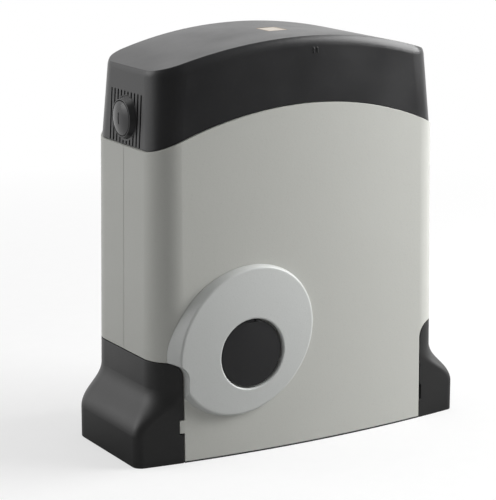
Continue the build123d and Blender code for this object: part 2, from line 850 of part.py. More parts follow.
# Clutch rod in the shaft, with the cross pin that carries the ring
with BuildPart() as clutch_rod:
    add(turned(shaft_line, [(-cover_front, rod_end - margin + touch_gap, rod_radius)]))
    with BuildSketch(Plane.YZ.offset(output_x - clutch_radius)):
        with Locations((pin_y, output_height)):
            Circle(rod_pin_radius)
    extrude(amount=2 * clutch_radius)
clutch_rod.part.label = "clutch_rod"
export_step(clutch_rod.part, "parts/clutch_rod.step")


def involute_half_angle(radius, base, pitch, pitch_half_angle):
    """Half the angle that a tooth spans at a radius."""

    def roll(r):
        pressure = acos(min(1.0, base / r))
        return tan(pressure) - pressure

    return pitch_half_angle + roll(pitch) - roll(radius)


# Pinion that drives the rack, with involute flanks
with BuildPart() as pinion:
    pitch = pinion_module * pinion_teeth / 2
    base = pitch * cos(radians(pressure_angle))
    root = pitch - dedendum * pinion_module
    tip = pitch + pinion_module
    pitch_half = (pi * pinion_module / 2 - pinion_backlash) / (2 * pitch)
    with BuildSketch(shaft_line.offset(shoulder_y)):
        Circle(root)
        with BuildSketch(shaft_line.offset(shoulder_y), mode=Mode.PRIVATE) as tooth:
            with BuildLine():
                flank = []
                for radius in (max(base, root), pitch, tip):
                    half = involute_half_angle(radius, base, pitch, pitch_half)
                    flank.append((radius * cos(half), radius * sin(half)))
                foot = root - tooth_sink
                start = (foot, flank[0][1])
                upper = ThreePointArc(flank[0], flank[1], flank[2])
                lower = ThreePointArc(*[(x, -y) for x, y in flank])
                Line(start, upper @ 0)
                Line(upper @ 1, lower @ 1)
                Line(lower @ 0, (foot, -flank[0][1]))
                Line((foot, -flank[0][1]), start)
            make_face()
        with PolarLocations(0, pinion_teeth):
            add(tooth.sketch_local)
        Circle(shaft_tip_radius + fit_gap, mode=Mode.SUBTRACT)
    extrude(amount=pinion_width)
    with BuildSketch(Plane.XY.offset(output_height)):
        with Locations((output_x, pinion_end - pinion_width / 2)):
            Rectangle(key_width + 2 * fit_gap, pinion_width + clear_gap)
    extrude(amount=shaft_tip_radius + key_height / 2 + fit_gap, mode=Mode.SUBTRACT)
pinion.part.label = "pinion"
export_step(pinion.part, "parts/pinion.step")

with BuildPart() as pinion_key:
    with BuildSketch(Plane.XY.offset(output_height + shaft_tip_radius - key_height / 2)):
        with Locations((output_x, pinion_end - key_length / 2)):
            Rectangle(key_width, key_length)
    extrude(amount=key_height)
pinion_key.part.label = "pinion_key"
export_step(pinion_key.part, "parts/pinion_key.step")

with BuildPart() as pinion_washer:
    washer_end = pinion_end + washer_thickness
    add(ring(shaft_line, pinion_end, washer_end, washer_radius, screw_shank_radius + fit_gap))
pinion_washer.part.label = "pinion_washer"
export_step(pinion_washer.part, "parts/pinion_washer.step")

with BuildPart() as pinion_screw:
    head_start = pinion_end + washer_thickness
    add(turned(shaft_line, [(pinion_end - screw_shank_length, head_start, screw_shank_radius)]))
    with BuildSketch(shaft_line.offset(head_start)):
        RegularPolygon(screw_head_radius, 6, major_radius=False)
    extrude(amount=screw_head_height)
    chamfer(pinion_screw.faces().sort_by(Axis.Y)[-1].edges(), small_chamfer)
pinion_screw.part.label = "pinion_screw"
export_step(pinion_screw.part, "parts/pinion_screw.step")

# Worm shaft: the motor shaft and its worm in one piece
bell_top = can_top + bell_thickness
boss_top = bell_top + bell_boss_height
encoder_bottom = boss_top + 2 * clear_gap
shaft_top = encoder_bottom + encoder_hub_height + encoder_thickness + 2 * clear_gap
thread_start = output_height - worm_lead * worm_turns / 2
with BuildPart() as worm_shaft:
    bearing_top = tube_seat + worm_bearing_width
    add(turned(motor_line, [(tube_seat + touch_gap, bearing_top, worm_journal_radius)]))
    add(turned(motor_line, [(bearing_top, upper_seat, worm_root)]))
    shoulder_top = can_top - motor_bearing_width + bell_thickness
    add(turned(motor_line, [(upper_seat, shoulder_top, motor_shaft_radius)]))
    add(turned(motor_line, [(can_top - motor_bearing_width, shaft_top, motor_journal_radius)]))
    path = Helix(worm_lead, worm_lead * worm_turns, worm_root, center=(worm_x, 0, thread_start))
    with BuildSketch(Plane(origin=path @ 0, x_dir=(1, 0, 0), z_dir=path % 0)):
        slope = tan(radians(pressure_angle))
        half = (pi * worm_module / 2 - worm_backlash) / 2
        depth = worm_outer - worm_root
        low_half = half + (worm_radius - worm_root) * slope
        high_half = half - (worm_outer - worm_radius) * slope
        with BuildLine():
            Polyline(
                (-thread_sink, -low_half),
                (depth, -high_half),
                (depth, high_half),
                (-thread_sink, low_half),
                close=True,
            )
        make_face()
    sweep(path=path, is_frenet=True)
worm_shaft.part.label = "worm_shaft"
export_step(worm_shaft.part, "parts/worm_shaft.step")

# Bearings of the worm shaft
with BuildPart() as lower_worm_bearing:
    add(bearing(motor_line, tube_seat, bearing_top, worm_bearing_radius, worm_journal_radius + running_gap))
lower_worm_bearing.part.label = "lower_worm_bearing"
export_step(lower_worm_bearing.part, "parts/lower_worm_bearing.step")

with BuildPart() as upper_worm_bearing:
    seat_top = upper_seat + worm_bearing_width
    add(bearing(motor_line, upper_seat, seat_top, worm_bearing_radius, motor_shaft_radius + running_gap))
upper_worm_bearing.part.label = "upper_worm_bearing"
export_step(upper_worm_bearing.part, "parts/upper_worm_bearing.step")

with BuildPart() as motor_bearing:
    race_top = bell_top + touch_gap
    race_bottom = race_top - motor_bearing_width
    add(bearing(motor_line, race_bottom, race_top, motor_bearing_radius, motor_journal_radius + running_gap))
motor_bearing.part.label = "motor_bearing"
export_step(motor_bearing.part, "parts/motor_bearing.step")

# Motor can with cooling fins
with BuildPart() as motor_can:
    with BuildSketch(motor_line.offset(flange_top)):
        Circle(can_radius)
        with PolarLocations(can_radius + fin_height / 2, fin_count):
            Rectangle(fin_height + can_wall, fin_width)
        Circle(can_radius - can_wall, mode=Mode.SUBTRACT)
    extrude(amount=can_height)
motor_can.part.label = "motor_can"
export_step(motor_can.part, "parts/motor_can.step")

# Stator, its windings and the rotor
stator_bottom = flange_top + stator_inset
stator_top = stator_bottom + stator_height
stator_radius = can_radius - can_wall - fit_gap
with BuildPart() as stator_core:
    add(ring(motor_line, stator_bottom, stator_top, stator_radius, stator_bore))
stator_core.part.label = "stator_core"
export_step(stator_core.part, "parts/stator_core.step")

with BuildPart() as stator_windings:
    add(ring(motor_line, stator_bottom - winding_height, stator_bottom, winding_outer, winding_inner))
    add(ring(motor_line, stator_top, stator_top + winding_height, winding_outer, winding_inner))
    ends = stator_windings.faces().filter_by(GeomType.PLANE).sort_by(Axis.Z)
    fillet(ends[0].edges() + ends[-1].edges(), winding_rounding)
stator_windings.part.label = "stator_windings"
export_step(stator_windings.part, "parts/stator_windings.step")

with BuildPart() as rotor_core:
    add(ring(motor_line, stator_bottom, stator_top, stator_bore - air_gap, motor_shaft_radius + fit_gap))
rotor_core.part.label = "rotor_core"
export_step(rotor_core.part, "parts/rotor_core.step")

# End bell on top of the can
with BuildPart() as motor_end_bell:
    with BuildSketch(motor_line.offset(can_top)):
        RectangleRounded(flange_size, flange_size, flange_corner)
    extrude(amount=bell_thickness)
    add(turned(motor_line, [(race_bottom, boss_top, bell_boss_radius)]))
    add(turned(motor_line, [(race_bottom, race_top, motor_bearing_radius + fit_gap)]), mode=Mode.SUBTRACT)
    add(turned(motor_line, [(race_top, boss_top, motor_journal_radius + clear_gap)]), mode=Mode.SUBTRACT)
    with BuildSketch(motor_line.offset(can_top)):
        with GridLocations(tie_spacing, tie_spacing, 2, 2):
            Circle(tie_radius + fit_gap)
    extrude(amount=bell_thickness, mode=Mode.SUBTRACT)
motor_end_bell.part.label = "motor_end_bell"
export_step(motor_end_bell.part, "parts/motor_end_bell.step")

with BuildPart() as motor_tie_bolts:
    with BuildSketch(motor_line.offset(flange_top - flange_thickness)):
        with GridLocations(tie_spacing, tie_spacing, 2, 2):
            Circle(tie_radius)
    extrude(amount=flange_thickness + can_height + bell_thickness)
    with BuildSketch(motor_line.offset(bell_top)):
        with GridLocations(tie_spacing, tie_spacing, 2, 2):
            Circle(tie_head_radius)
    extrude(amount=tie_head_height)
motor_tie_bolts.part.label = "motor_tie_bolts"
export_step(motor_tie_bolts.part, "parts/motor_tie_bolts.step")

# Encoder disc on the shaft, and the forked sensor that it runs through
disc_bottom = encoder_bottom + encoder_hub_height
with BuildPart() as encoder_disc:
    with BuildSketch(motor_line.offset(disc_bottom)):
        Circle(encoder_radius)
        with PolarLocations(encoder_radius - encoder_slot_inset, encoder_slots):
            Rectangle(encoder_slot_length, encoder_slot_width, mode=Mode.SUBTRACT)
    extrude(amount=encoder_thickness)
    add(turned(motor_line, [(encoder_bottom, disc_bottom, encoder_hub_radius)]))
    add(turned(motor_line, [(encoder_bottom, shaft_top, motor_journal_radius + fit_gap)]), mode=Mode.SUBTRACT)
encoder_disc.part.label = "encoder_disc"
export_step(encoder_disc.part, "parts/encoder_disc.step")

with BuildPart() as encoder_sensor:
    fork_near = worm_x + encoder_radius - 2 * sensor_wall
    fork_far = worm_x + bell_boss_radius + sensor_width
    slot_low = disc_bottom - sensor_gap
    slot_high = disc_bottom + encoder_thickness + sensor_gap
    with BuildSketch(Plane.XZ.offset(-sensor_width / 2)):
        with BuildLine():
            Polyline(
                (worm_x + bell_boss_radius + sensor_gap, bell_top),
                (worm_x + bell_boss_radius + sensor_gap, slot_low - sensor_wall),
                (fork_near, slot_low - sensor_wall),
                (fork_near, slot_low),
                (worm_x + encoder_radius + sensor_gap, slot_low),
                (worm_x + encoder_radius + sensor_gap, slot_high),
                (fork_near, slot_high),
                (fork_near, slot_high + sensor_wall),
                (fork_far, slot_high + sensor_wall),
                (fork_far, bell_top),
                close=True,
            )
        make_face()
    extrude(amount=sensor_width)
encoder_sensor.part.label = "encoder_sensor"
export_step(encoder_sensor.part, "parts/encoder_sensor.step")

# Release knob: turns in the cover's bush and takes the end of the clutch rod
knob_back = cover_front + touch_gap
hub_end = front_seat + 2 * touch_gap
with BuildPart() as release_knob:
    add(turned(shaft_line, [(-knob_back, -hub_end, knob_hub_radius)]))
    add(turned(shaft_line, [(-knob_back - knob_thickness, -knob_back, knob_radius)]))
    with BuildSketch(shaft_line.offset(-knob_front)):
        Rectangle(knob_grip_width, 2 * knob_radius)
        Circle(knob_radius, mode=Mode.INTERSECT)
    extrude(amount=knob_front - knob_back - knob_thickness)
    socket = cover_front + clutch_travel + clear_gap
    add(turned(shaft_line, [(-socket, 0, rod_radius + touch_gap)]), mode=Mode.SUBTRACT)
    fillet(release_knob.faces().sort_by(Axis.Y)[0].edges(), knob_edge_radius)
release_knob.part.label = "release_knob"
export_step(release_knob.part, "parts/release_knob.step")


def upright_sheet(side):
    """Folded sheet of one upright, with two lightening windows in its web."""
    near = side * upright_inner
    far = side * (upright_inner + sheet)
    foot = side * (upright_inner + sheet + upright_foot)
    lip = side * (upright_inner - upright_lip)
    with BuildPart() as folded:
        with BuildSketch(Plane.XZ.offset(-upright_width / 2)):
            with BuildLine():
                Polyline(
                    (foot, plate_thickness),
                    (near, plate_thickness),
                    (near, tray_height - sheet),
                    (lip, tray_height - sheet),
                    (lip, tray_height),
                    (far, tray_height),
                    (far, plate_thickness + sheet),
                    (foot, plate_thickness + sheet),
                    close=True,
                )
            make_face()
        extrude(amount=upright_width)
        with BuildSketch(Plane.YZ.offset(side * (upright_inner + sheet / 2))):
            with Locations((0, tray_height / 2), (0, tray_height * 3 / 4)):
                RectangleRounded(window_width, window_height, margin)
        extrude(amount=sheet, both=True, mode=Mode.SUBTRACT)
        with BuildSketch(Plane.XY.offset(plate_thickness)):
            with Locations((side * (upright_inner + sheet + upright_foot / 2), 0)):
                with GridLocations(0, upright_width / 2, 1, 2):
                    Circle(upright_screw_radius + fit_gap)
        extrude(amount=sheet, mode=Mode.SUBTRACT)
        with BuildSketch(Plane.XY.offset(tray_height - sheet)):
            with Locations((side * (upright_inner - upright_lip / 2), 0)):
                with GridLocations(0, upright_width / 2, 1, 2):
                    Circle(upright_screw_radius + fit_gap)
        extrude(amount=sheet, mode=Mode.SUBTRACT)
    return folded.part


lock_inner = cap_end(lock_height, cap_wall)
cam_near = lock_inner - lock_barrel_length
cam_far = cam_near - cam_thickness
catch_bottom = lock_height + cam_width / 2 + catch_gap
with BuildPart() as left_upright:
    add(upright_sheet(-1))
    with BuildSketch(Plane.XY.offset(tray_height - sheet)):
        with Locations((-upright_inner - sheet / 2, catch_start + catch_width / 2)):
            Rectangle(sheet, catch_width)
    extrude(amount=catch_bottom + catch_thickness - tray_height + sheet)
    with BuildSketch(Plane.XY.offset(catch_bottom)):
        with Locations((-(upright_inner + cam_near - touch_gap) / 2, catch_start + catch_width / 2)):
            Rectangle(cam_near - touch_gap - upright_inner, catch_width)
    extrude(amount=catch_thickness)
left_upright.part.label = "left_upright"
export_step(left_upright.part, "parts/left_upright.step")

with BuildPart() as right_upright:
    add(upright_sheet(1))
right_upright.part.label = "right_upright"
export_step(right_upright.part, "parts/right_upright.step")

# Electronics tray: carries the board and the posts that the top cover rests on
with BuildPart() as electronics_tray:
    with BuildSketch(Plane.XY.offset(tray_height)):
        RectangleRounded(tray_length, tray_width, tray_corner)
    extrude(amount=tray_thickness)
    with BuildSketch(Plane.XY.offset(tray_top)):
        RectangleRounded(tray_length, tray_width, tray_corner)
        inner_corner = tray_corner - tray_rim_width
        inner_length = tray_length - 2 * tray_rim_width
        inner_width = tray_width - 2 * tray_rim_width
        RectangleRounded(inner_length, inner_width, inner_corner, mode=Mode.SUBTRACT)
    extrude(amount=tray_rim)
    with BuildSketch(Plane.XY.offset(tray_top)):
        with GridLocations(post_spacing_x, post_spacing_y, 2, 2):
            Circle(post_radius)
    extrude(amount=post_top - tray_top)
    with BuildSketch(Plane.XY.offset(tray_top)):
        hole_span_x = board_length - 2 * board_hole_inset
        hole_span_y = board_width - 2 * board_hole_inset
        with GridLocations(hole_span_x, hole_span_y, 2, 2):
            Circle(standoff_radius)
    extrude(amount=board_lift)
    with BuildSketch(Plane.XY.offset(tray_height)):
        with GridLocations(2 * lug_x, 2 * lug_screw_y, 2, 2):
            Circle(upright_screw_radius + fit_gap)
        with GridLocations(2 * upright_inner - upright_lip, upright_width / 2, 2, 2):
            Circle(upright_screw_radius + fit_gap)
    extrude(amount=tray_thickness, mode=Mode.SUBTRACT)
    with BuildSketch(Plane.XY.offset(tray_height)):
        with Locations((board_length / 2 + 3 * margin, 0)):
            RectangleRounded(2 * margin, board_width / 2, margin - clear_gap)
    extrude(amount=tray_thickness, mode=Mode.SUBTRACT)
    with BuildSketch(Plane.XY.offset(tray_top)):
        with GridLocations(hole_span_x, hole_span_y, 2, 2):
            Circle(small_screw_radius + fit_gap)
    extrude(amount=board_lift, mode=Mode.SUBTRACT)
electronics_tray.part.label = "electronics_tray"
export_step(electronics_tray.part, "parts/electronics_tray.step")

# Frame screws: two in each upright's foot, two through the tray into each lip, four into the shells
with BuildPart() as frame_screws:
    screw_grip = tray_thickness + sheet
    screw_sets = (
        (plate_thickness + sheet, plate_thickness, foot_span, upright_width / 2),
        (tray_top, screw_grip, 2 * upright_inner - upright_lip, upright_width / 2),
        (tray_top, tray_thickness + lug_width, 2 * lug_x, 2 * lug_screw_y),
    )
    for start, depth, span_x, span_y in screw_sets:
        with BuildSketch(Plane.XY.offset(start)):
            with GridLocations(span_x, span_y, 2, 2):
                Circle(upright_screw_radius)
        extrude(amount=-depth)
        with BuildSketch(Plane.XY.offset(start)):
            with GridLocations(span_x, span_y, 2, 2):
                Circle(upright_screw_head)
        extrude(amount=upright_screw_head_height)
frame_screws.part.label = "frame_screws"
export_step(frame_screws.part, "parts/frame_screws.step")

# Control board on its standoffs
with BuildPart() as control_board:
    with BuildSketch(Plane.XY.offset(board_bottom)):
        Rectangle(board_length, board_width)
        with GridLocations(hole_span_x, hole_span_y, 2, 2):
            Circle(small_screw_radius + fit_gap, mode=Mode.SUBTRACT)
    extrude(amount=board_thickness)
control_board.part.label = "control_board"
export_step(control_board.part, "parts/control_board.step")

with BuildPart() as board_screws:
    with BuildSketch(Plane.XY.offset(tray_top + clear_gap)):
        with GridLocations(hole_span_x, hole_span_y, 2, 2):
            Circle(small_screw_radius)
    extrude(amount=board_top - tray_top - clear_gap)
    with BuildSketch(Plane.XY.offset(board_top)):
        with GridLocations(hole_span_x, hole_span_y, 2, 2):
            Circle(small_screw_head)
    extrude(amount=small_screw_head_height)
board_screws.part.label = "board_screws"
export_step(board_screws.part, "parts/board_screws.step")

# Terminal blocks along the front edge of the board
terminal_y = -board_width / 2 + terminal_depth / 2 + clear_gap
terminal_pitch = terminal_length / terminal_ways
terminal_span = board_length - 2 * board_hole_inset - 4 * small_screw_head - terminal_length
with BuildPart() as terminal_blocks:
    with BuildSketch(Plane.XY.offset(board_top)):
        with Locations((0, terminal_y)):
            with GridLocations(terminal_span / 2, 0, 3, 1):
                Rectangle(terminal_length, terminal_depth)
    extrude(amount=terminal_height)
    with BuildSketch(Plane.XZ.offset(board_width / 2 - clear_gap)):
        with Locations((0, board_top + terminal_height / 3)):
            with GridLocations(terminal_span / 2, 0, 3, 1):
                with GridLocations(terminal_pitch, 0, terminal_ways, 1):
                    Rectangle(2 * terminal_hole_radius, 2 * terminal_hole_radius)
    extrude(amount=-terminal_depth / 2, mode=Mode.SUBTRACT)
    with BuildSketch(Plane.XY.offset(board_top + terminal_height)):
        with Locations((0, terminal_y)):
            with GridLocations(terminal_span / 2, 0, 3, 1):
                with GridLocations(terminal_pitch, 0, terminal_ways, 1):
                    Circle(terminal_hole_radius)
    extrude(amount=-terminal_height / 3, mode=Mode.SUBTRACT)
terminal_blocks.part.label = "terminal_blocks"
export_step(terminal_blocks.part, "parts/terminal_blocks.step")

# Relays, fuse holder, capacitors and the plug-in receiver stand behind the terminals
relay_y = board_width / 2 - relay_length / 2 - margin
relay_x = -board_length / 2 + 2 * board_hole_inset + relay_width
with BuildPart() as relays:
    with BuildSketch(Plane.XY.offset(board_top)):
        with Locations((relay_x + relay_width, relay_y)):
            with GridLocations(relay_pitch, 0, 3, 1):
                Rectangle(relay_width, relay_length)
    extrude(amount=relay_height)
    chamfer(relays.faces().group_by(Axis.Z)[-1].edges(), small_chamfer)
relays.part.label = "relays"
export_step(relays.part, "parts/relays.step")

fuse_z = board_top + fuse_radius + fuse_lift
fuse_line = Plane(origin=(0, board_width / 4, fuse_z), x_dir=(0, 1, 0), z_dir=(1, 0, 0))
with BuildPart() as fuse_holder:
    add(turned(fuse_line, [(-fuse_length / 2, fuse_length / 2, fuse_radius)]))
    for end in (-1, 1):
        with BuildSketch(fuse_line.offset((end * fuse_length - fuse_clip_width) / 2)):
            Rectangle(2 * (fuse_radius + fuse_clip_wall), 2 * (fuse_z - board_top))
        extrude(amount=fuse_clip_width)
fuse_holder.part.label = "fuse_holder"
export_step(fuse_holder.part, "parts/fuse_holder.step")

with BuildPart() as board_capacitors:
    with BuildSketch(Plane.XY.offset(board_top)):
        with Locations([(x, 0) for x in board_capacitor_x]):
            Circle(board_capacitor_radius)
    extrude(amount=board_capacitor_height)
    fillet(board_capacitors.faces().sort_by(Axis.Z)[-2:].edges(), board_capacitor_edge)
board_capacitors.part.label = "board_capacitors"
export_step(board_capacitors.part, "parts/board_capacitors.step")

receiver_x = board_length / 2 - receiver_length / 2 - 3 * small_screw_head
with BuildPart() as receiver_module:
    with BuildSketch(Plane.XY.offset(board_top)):
        with Locations((receiver_x, relay_y + relay_length / 2)):
            Rectangle(receiver_length, receiver_socket_width)
    extrude(amount=receiver_socket_height)
    with BuildSketch(Plane.XY.offset(board_top + receiver_socket_height)):
        with Locations((receiver_x, relay_y + relay_length / 2)):
            Rectangle(receiver_length, board_thickness)
    extrude(amount=receiver_height)
    with BuildSketch(Plane.XZ.offset(-relay_y - relay_length / 2 + board_thickness / 2)):
        with Locations((receiver_x, board_top + receiver_socket_height + receiver_height / 2)):
            Rectangle(receiver_length / 2, receiver_height / 2)
    extrude(amount=receiver_chip_thickness)
receiver_module.part.label = "receiver_module"
export_step(receiver_module.part, "parts/receiver_module.step")

# Two push buttons: housings on the board, plungers that travel down into them
button_x = board_length / 2 - 5 * margin
button_y = 0.0
button_spacing = button_size + 2 * margin
plunger_bottom = board_top + button_floor + button_travel + touch_gap
with BuildPart() as button_housings:
    with BuildSketch(Plane.XY.offset(board_top)):
        with Locations((button_x - button_spacing, button_y), (button_x, button_y)):
            Rectangle(button_size, button_size)
    extrude(amount=button_height)
    with BuildSketch(Plane.XY.offset(board_top + button_floor)):
        with Locations((button_x - button_spacing, button_y), (button_x, button_y)):
            Circle(button_radius + running_gap)
    extrude(amount=button_height, mode=Mode.SUBTRACT)
button_housings.part.label = "button_housings"
export_step(button_housings.part, "parts/button_housings.step")


def plunger(x):
    """Plunger of a push button, with a softened top edge."""
    line = axis_z(x, button_y)
    with BuildPart() as pin:
        add(turned(line, [(plunger_bottom, board_top + button_height + button_stand, button_radius)]))
        fillet(pin.faces().sort_by(Axis.Z)[-1].edges(), button_edge)
    return pin.part


with BuildPart() as step_button:
    add(plunger(button_x - button_spacing))
step_button.part.label = "step_button"
export_step(step_button.part, "parts/step_button.step")

with BuildPart() as learn_button:
    add(plunger(button_x))
learn_button.part.label = "learn_button"
export_step(learn_button.part, "parts/learn_button.step")

# Toroidal transformer on the base plate, held by a dished washer and one bolt
transformer_line = axis_z(transformer_x, 0)
transformer_top = plate_thickness + transformer_height
with BuildPart() as transformer:
    add(ring(transformer_line, plate_thickness, transformer_top, transformer_radius, transformer_bore))
    fillet(transformer.edges().filter_by(GeomType.CIRCLE), transformer_height / 5)
transformer.part.label = "transformer"
export_step(transformer.part, "parts/transformer.step")

with BuildPart() as transformer_clamp:
    clamp_radius = transformer_bore + (transformer_radius - transformer_bore) / 2
    add(turned(transformer_line, [(plate_thickness, transformer_top + sheet, housing_bolt_radius)]))
    add(turned(transformer_line, [(transformer_top, transformer_top + sheet, clamp_radius)]))
    with BuildSketch(transformer_line.offset(transformer_top + sheet)):
        RegularPolygon(housing_bolt_head, 6, major_radius=False)
    extrude(amount=margin)
transformer_clamp.part.label = "transformer_clamp"
export_step(transformer_clamp.part, "parts/transformer_clamp.step")

# Run capacitor strapped to the left upright
capacitor_line = axis_z(capacitor_x, 0)
capacitor_top = capacitor_bottom + capacitor_height
with BuildPart() as run_capacitor:
    add(turned(capacitor_line, [(capacitor_bottom, capacitor_top, capacitor_radius)]))
    fillet(run_capacitor.edges().filter_by(GeomType.CIRCLE), capacitor_edge)
    with BuildSketch(Plane.XY.offset(capacitor_top)):
        with Locations((capacitor_x, 0)):
            with GridLocations(capacitor_radius, 0, 2, 1):
                Rectangle(capacitor_tab_thickness, capacitor_tab_width)
    extrude(amount=capacitor_tab_height)
run_capacitor.part.label = "run_capacitor"
export_step(run_capacitor.part, "parts/run_capacitor.step")

clip_low = capacitor_bottom + capacitor_height / 2 - clip_height / 2
with BuildPart() as capacitor_clip:
    clip_outer = capacitor_radius + fit_gap + clip_thickness
    add(ring(capacitor_line, clip_low, clip_low + clip_height, clip_outer, capacitor_radius + fit_gap))
    with BuildSketch(Plane.XY.offset(clip_low)):
        tab_far = -upright_inner
        tab_near = capacitor_x - capacitor_radius - fit_gap
        with Locations(((tab_far + tab_near) / 2, 0)):
            Rectangle(tab_near - tab_far, upright_width * 3 / 4)
        with Locations((capacitor_x, 0)):
            Circle(capacitor_radius + fit_gap, mode=Mode.SUBTRACT)
    extrude(amount=clip_height)
    with BuildSketch(Plane.XY.offset(clip_low)):
        with Locations(((tab_far + sheet + tab_near) / 2, 0)):
            with GridLocations(0, upright_width / 2, 1, 2):
                Rectangle(tab_near - tab_far - sheet, upright_width / 2 - 2 * clip_thickness)
    extrude(amount=clip_height, mode=Mode.SUBTRACT)
capacitor_clip.part.label = "capacitor_clip"
export_step(capacitor_clip.part, "parts/capacitor_clip.step")


def shell_lugs(side):
    """Two gussets inside the top of a shell, screwed to the underside of the tray."""
    wall = side * (casing_face(lug_x, tray_height) - casing_wall / 2)
    with BuildPart() as lugs:
        for x in (-lug_x, lug_x):
            with BuildSketch(Plane.YZ.offset(x - lug_width / 2)):
                with BuildLine():
                    Polyline(
                        (wall, tray_height - 3 * lug_width),
                        (wall, tray_height - lug_width * 2 / 3),
                        (side * lug_outer, tray_height - lug_width * 2 / 3),
                        (side * lug_outer, tray_height),
                        (side * lug_inner, tray_height),
                        (side * lug_inner, tray_height - lug_width),
                        close=True,
                    )
                make_face()
            extrude(amount=lug_width)
        with BuildSketch(Plane.XY.offset(tray_height - lug_width)):
            with Locations((0, side * lug_screw_y)):
                with GridLocations(2 * lug_x, 0, 2, 1):
                    Circle(upright_screw_radius + fit_gap)
        extrude(amount=lug_width, mode=Mode.SUBTRACT)
    return lugs.part


def shell_ribs(side):
    """Upright stiffening ribs on the inside of a shell's long wall."""
    with BuildPart() as ribs:
        with BuildSketch(Plane.XY.offset(rib_bottom)):
            rib_side = boss_hole_radius + 2 * margin
            for x in (output_x - rib_side, output_x + rib_side, lug_x - lug_width - margin):
                with Locations((x, side * body_depth / 4)):
                    Rectangle(rib_width, body_depth / 2)
        extrude(amount=rib_top - rib_bottom)
        add(casing_inner, mode=Mode.INTERSECT)
        add(rib_room, mode=Mode.SUBTRACT)
    return ribs.part


def shell(side):
    """One casing shell: half of the hollow casing below the cap line, cut out for the feet."""
    with BuildPart() as half:
        add(casing_outer)
        add(casing_inner, mode=Mode.SUBTRACT)
        add(casing_top, mode=Mode.INTERSECT)
        with BuildSketch():
            with Locations((0, side * (seam_gap / 2 + body_depth / 2))):
                Rectangle(body_length, body_depth)
        extrude(amount=cap_line_middle + margin, mode=Mode.INTERSECT)
        add(left_zone, mode=Mode.SUBTRACT)
        add(right_zone, mode=Mode.SUBTRACT)
        add(shell_ribs(side))
        add(shell_lugs(side))
    return half.part


# Front shell, with the round opening behind the hatch and a tab into the left foot cover
tab_low = left_notch_low + foot_gap
tab_high = left_notch_high - foot_gap
tab_reach = left_notch_depth - foot_gap / 2
with BuildPart() as tab_wall:
    with BuildSketch(Plane.XZ):
        with Locations((clear_gap - foot_inner + foot_gap / 2 - tab_reach / 2, (tab_low + tab_high) / 2)):
            Rectangle(tab_reach + foot_gap + 2 * clear_gap, tab_high - tab_low)
    extrude(amount=body_depth)
    add(casing_outer, mode=Mode.INTERSECT)
    add(casing_inner, mode=Mode.SUBTRACT)

with BuildPart() as front_shell:
    add(shell(-1))
    add(tab_wall.part)
    add(turned(shaft_line, [(-body_depth, -body_depth / 3, hatch_hole_radius)]), mode=Mode.SUBTRACT)
front_shell.part.label = "front_shell"
export_step(front_shell.part, "parts/front_shell.step")

# Rear shell, with the opening that the gearbox boss stands in
with BuildPart() as rear_shell:
    add(shell(1))
    add(turned(shaft_line, [(body_depth / 3, body_depth, rear_boss_radius + clear_gap)]), mode=Mode.SUBTRACT)
rear_shell.part.label = "rear_shell"
export_step(rear_shell.part, "parts/rear_shell.step")


def half_foot(side, notch_low, notch_high, notch_depth):
    """One flared foot cover, open underneath and towards the casing, notched on its front edge."""
    with BuildPart() as cover:
        add(foot_outer)
        add(foot_inside, mode=Mode.SUBTRACT)
        add(foot_zone(side, 0), mode=Mode.INTERSECT)
        with BuildSketch(Plane.XZ):
            with Locations((side * (foot_inner + notch_depth / 2), (notch_low + notch_high) / 2)):
                Rectangle(notch_depth, notch_high - notch_low)
        extrude(amount=body_depth, mode=Mode.SUBTRACT)
    return cover.part


with BuildPart() as left_foot_cover:
    add(half_foot(-1, left_notch_low, left_notch_high, left_notch_depth))
left_foot_cover.part.label = "left_foot_cover"
export_step(left_foot_cover.part, "parts/left_foot_cover.step")

with BuildPart() as right_foot_cover:
    add(half_foot(1, right_notch_low, right_notch_high, right_notch_depth))
right_foot_cover.part.label = "right_foot_cover"
export_step(right_foot_cover.part, "parts/right_foot_cover.step")

# Escutcheon: tilted oval with a slightly domed face, seated on the bowed front shell
with BuildPart() as front_escutcheon:
    for setback in (boss_root, -margin):
        widening = tan(radians(boss_draft)) * setback
        with BuildSketch(Plane.XZ.offset(boss_front - setback)):
            with Locations((boss_x, boss_z)):
                Ellipse(boss_half_length + widening, boss_half_width + widening, rotation=boss_tilt)
    loft()
    with Locations((boss_x, boss_dome_radius - boss_front, boss_z)):
        Sphere(boss_dome_radius, mode=Mode.INTERSECT)
    fillet(front_escutcheon.faces().sort_by(Axis.Y)[0].edges(), boss_edge_radius)
    with BuildSketch(Plane.XZ.offset(body_depth / 4)):
        with Locations((output_x, output_height)):
            Circle(boss_hole_radius)
    extrude(amount=body_depth, mode=Mode.SUBTRACT)
    rim = front_escutcheon.faces().sort_by(Axis.Y)[0].inner_wires()[0].edges()
    fillet(rim, boss_hole_edge)
    add(casing_form(-boss_seat_gap, 0, cap_line_middle), mode=Mode.SUBTRACT)
    add(left_zone, mode=Mode.SUBTRACT)
front_escutcheon.part.label = "front_escutcheon"
export_step(front_escutcheon.part, "parts/front_escutcheon.step")

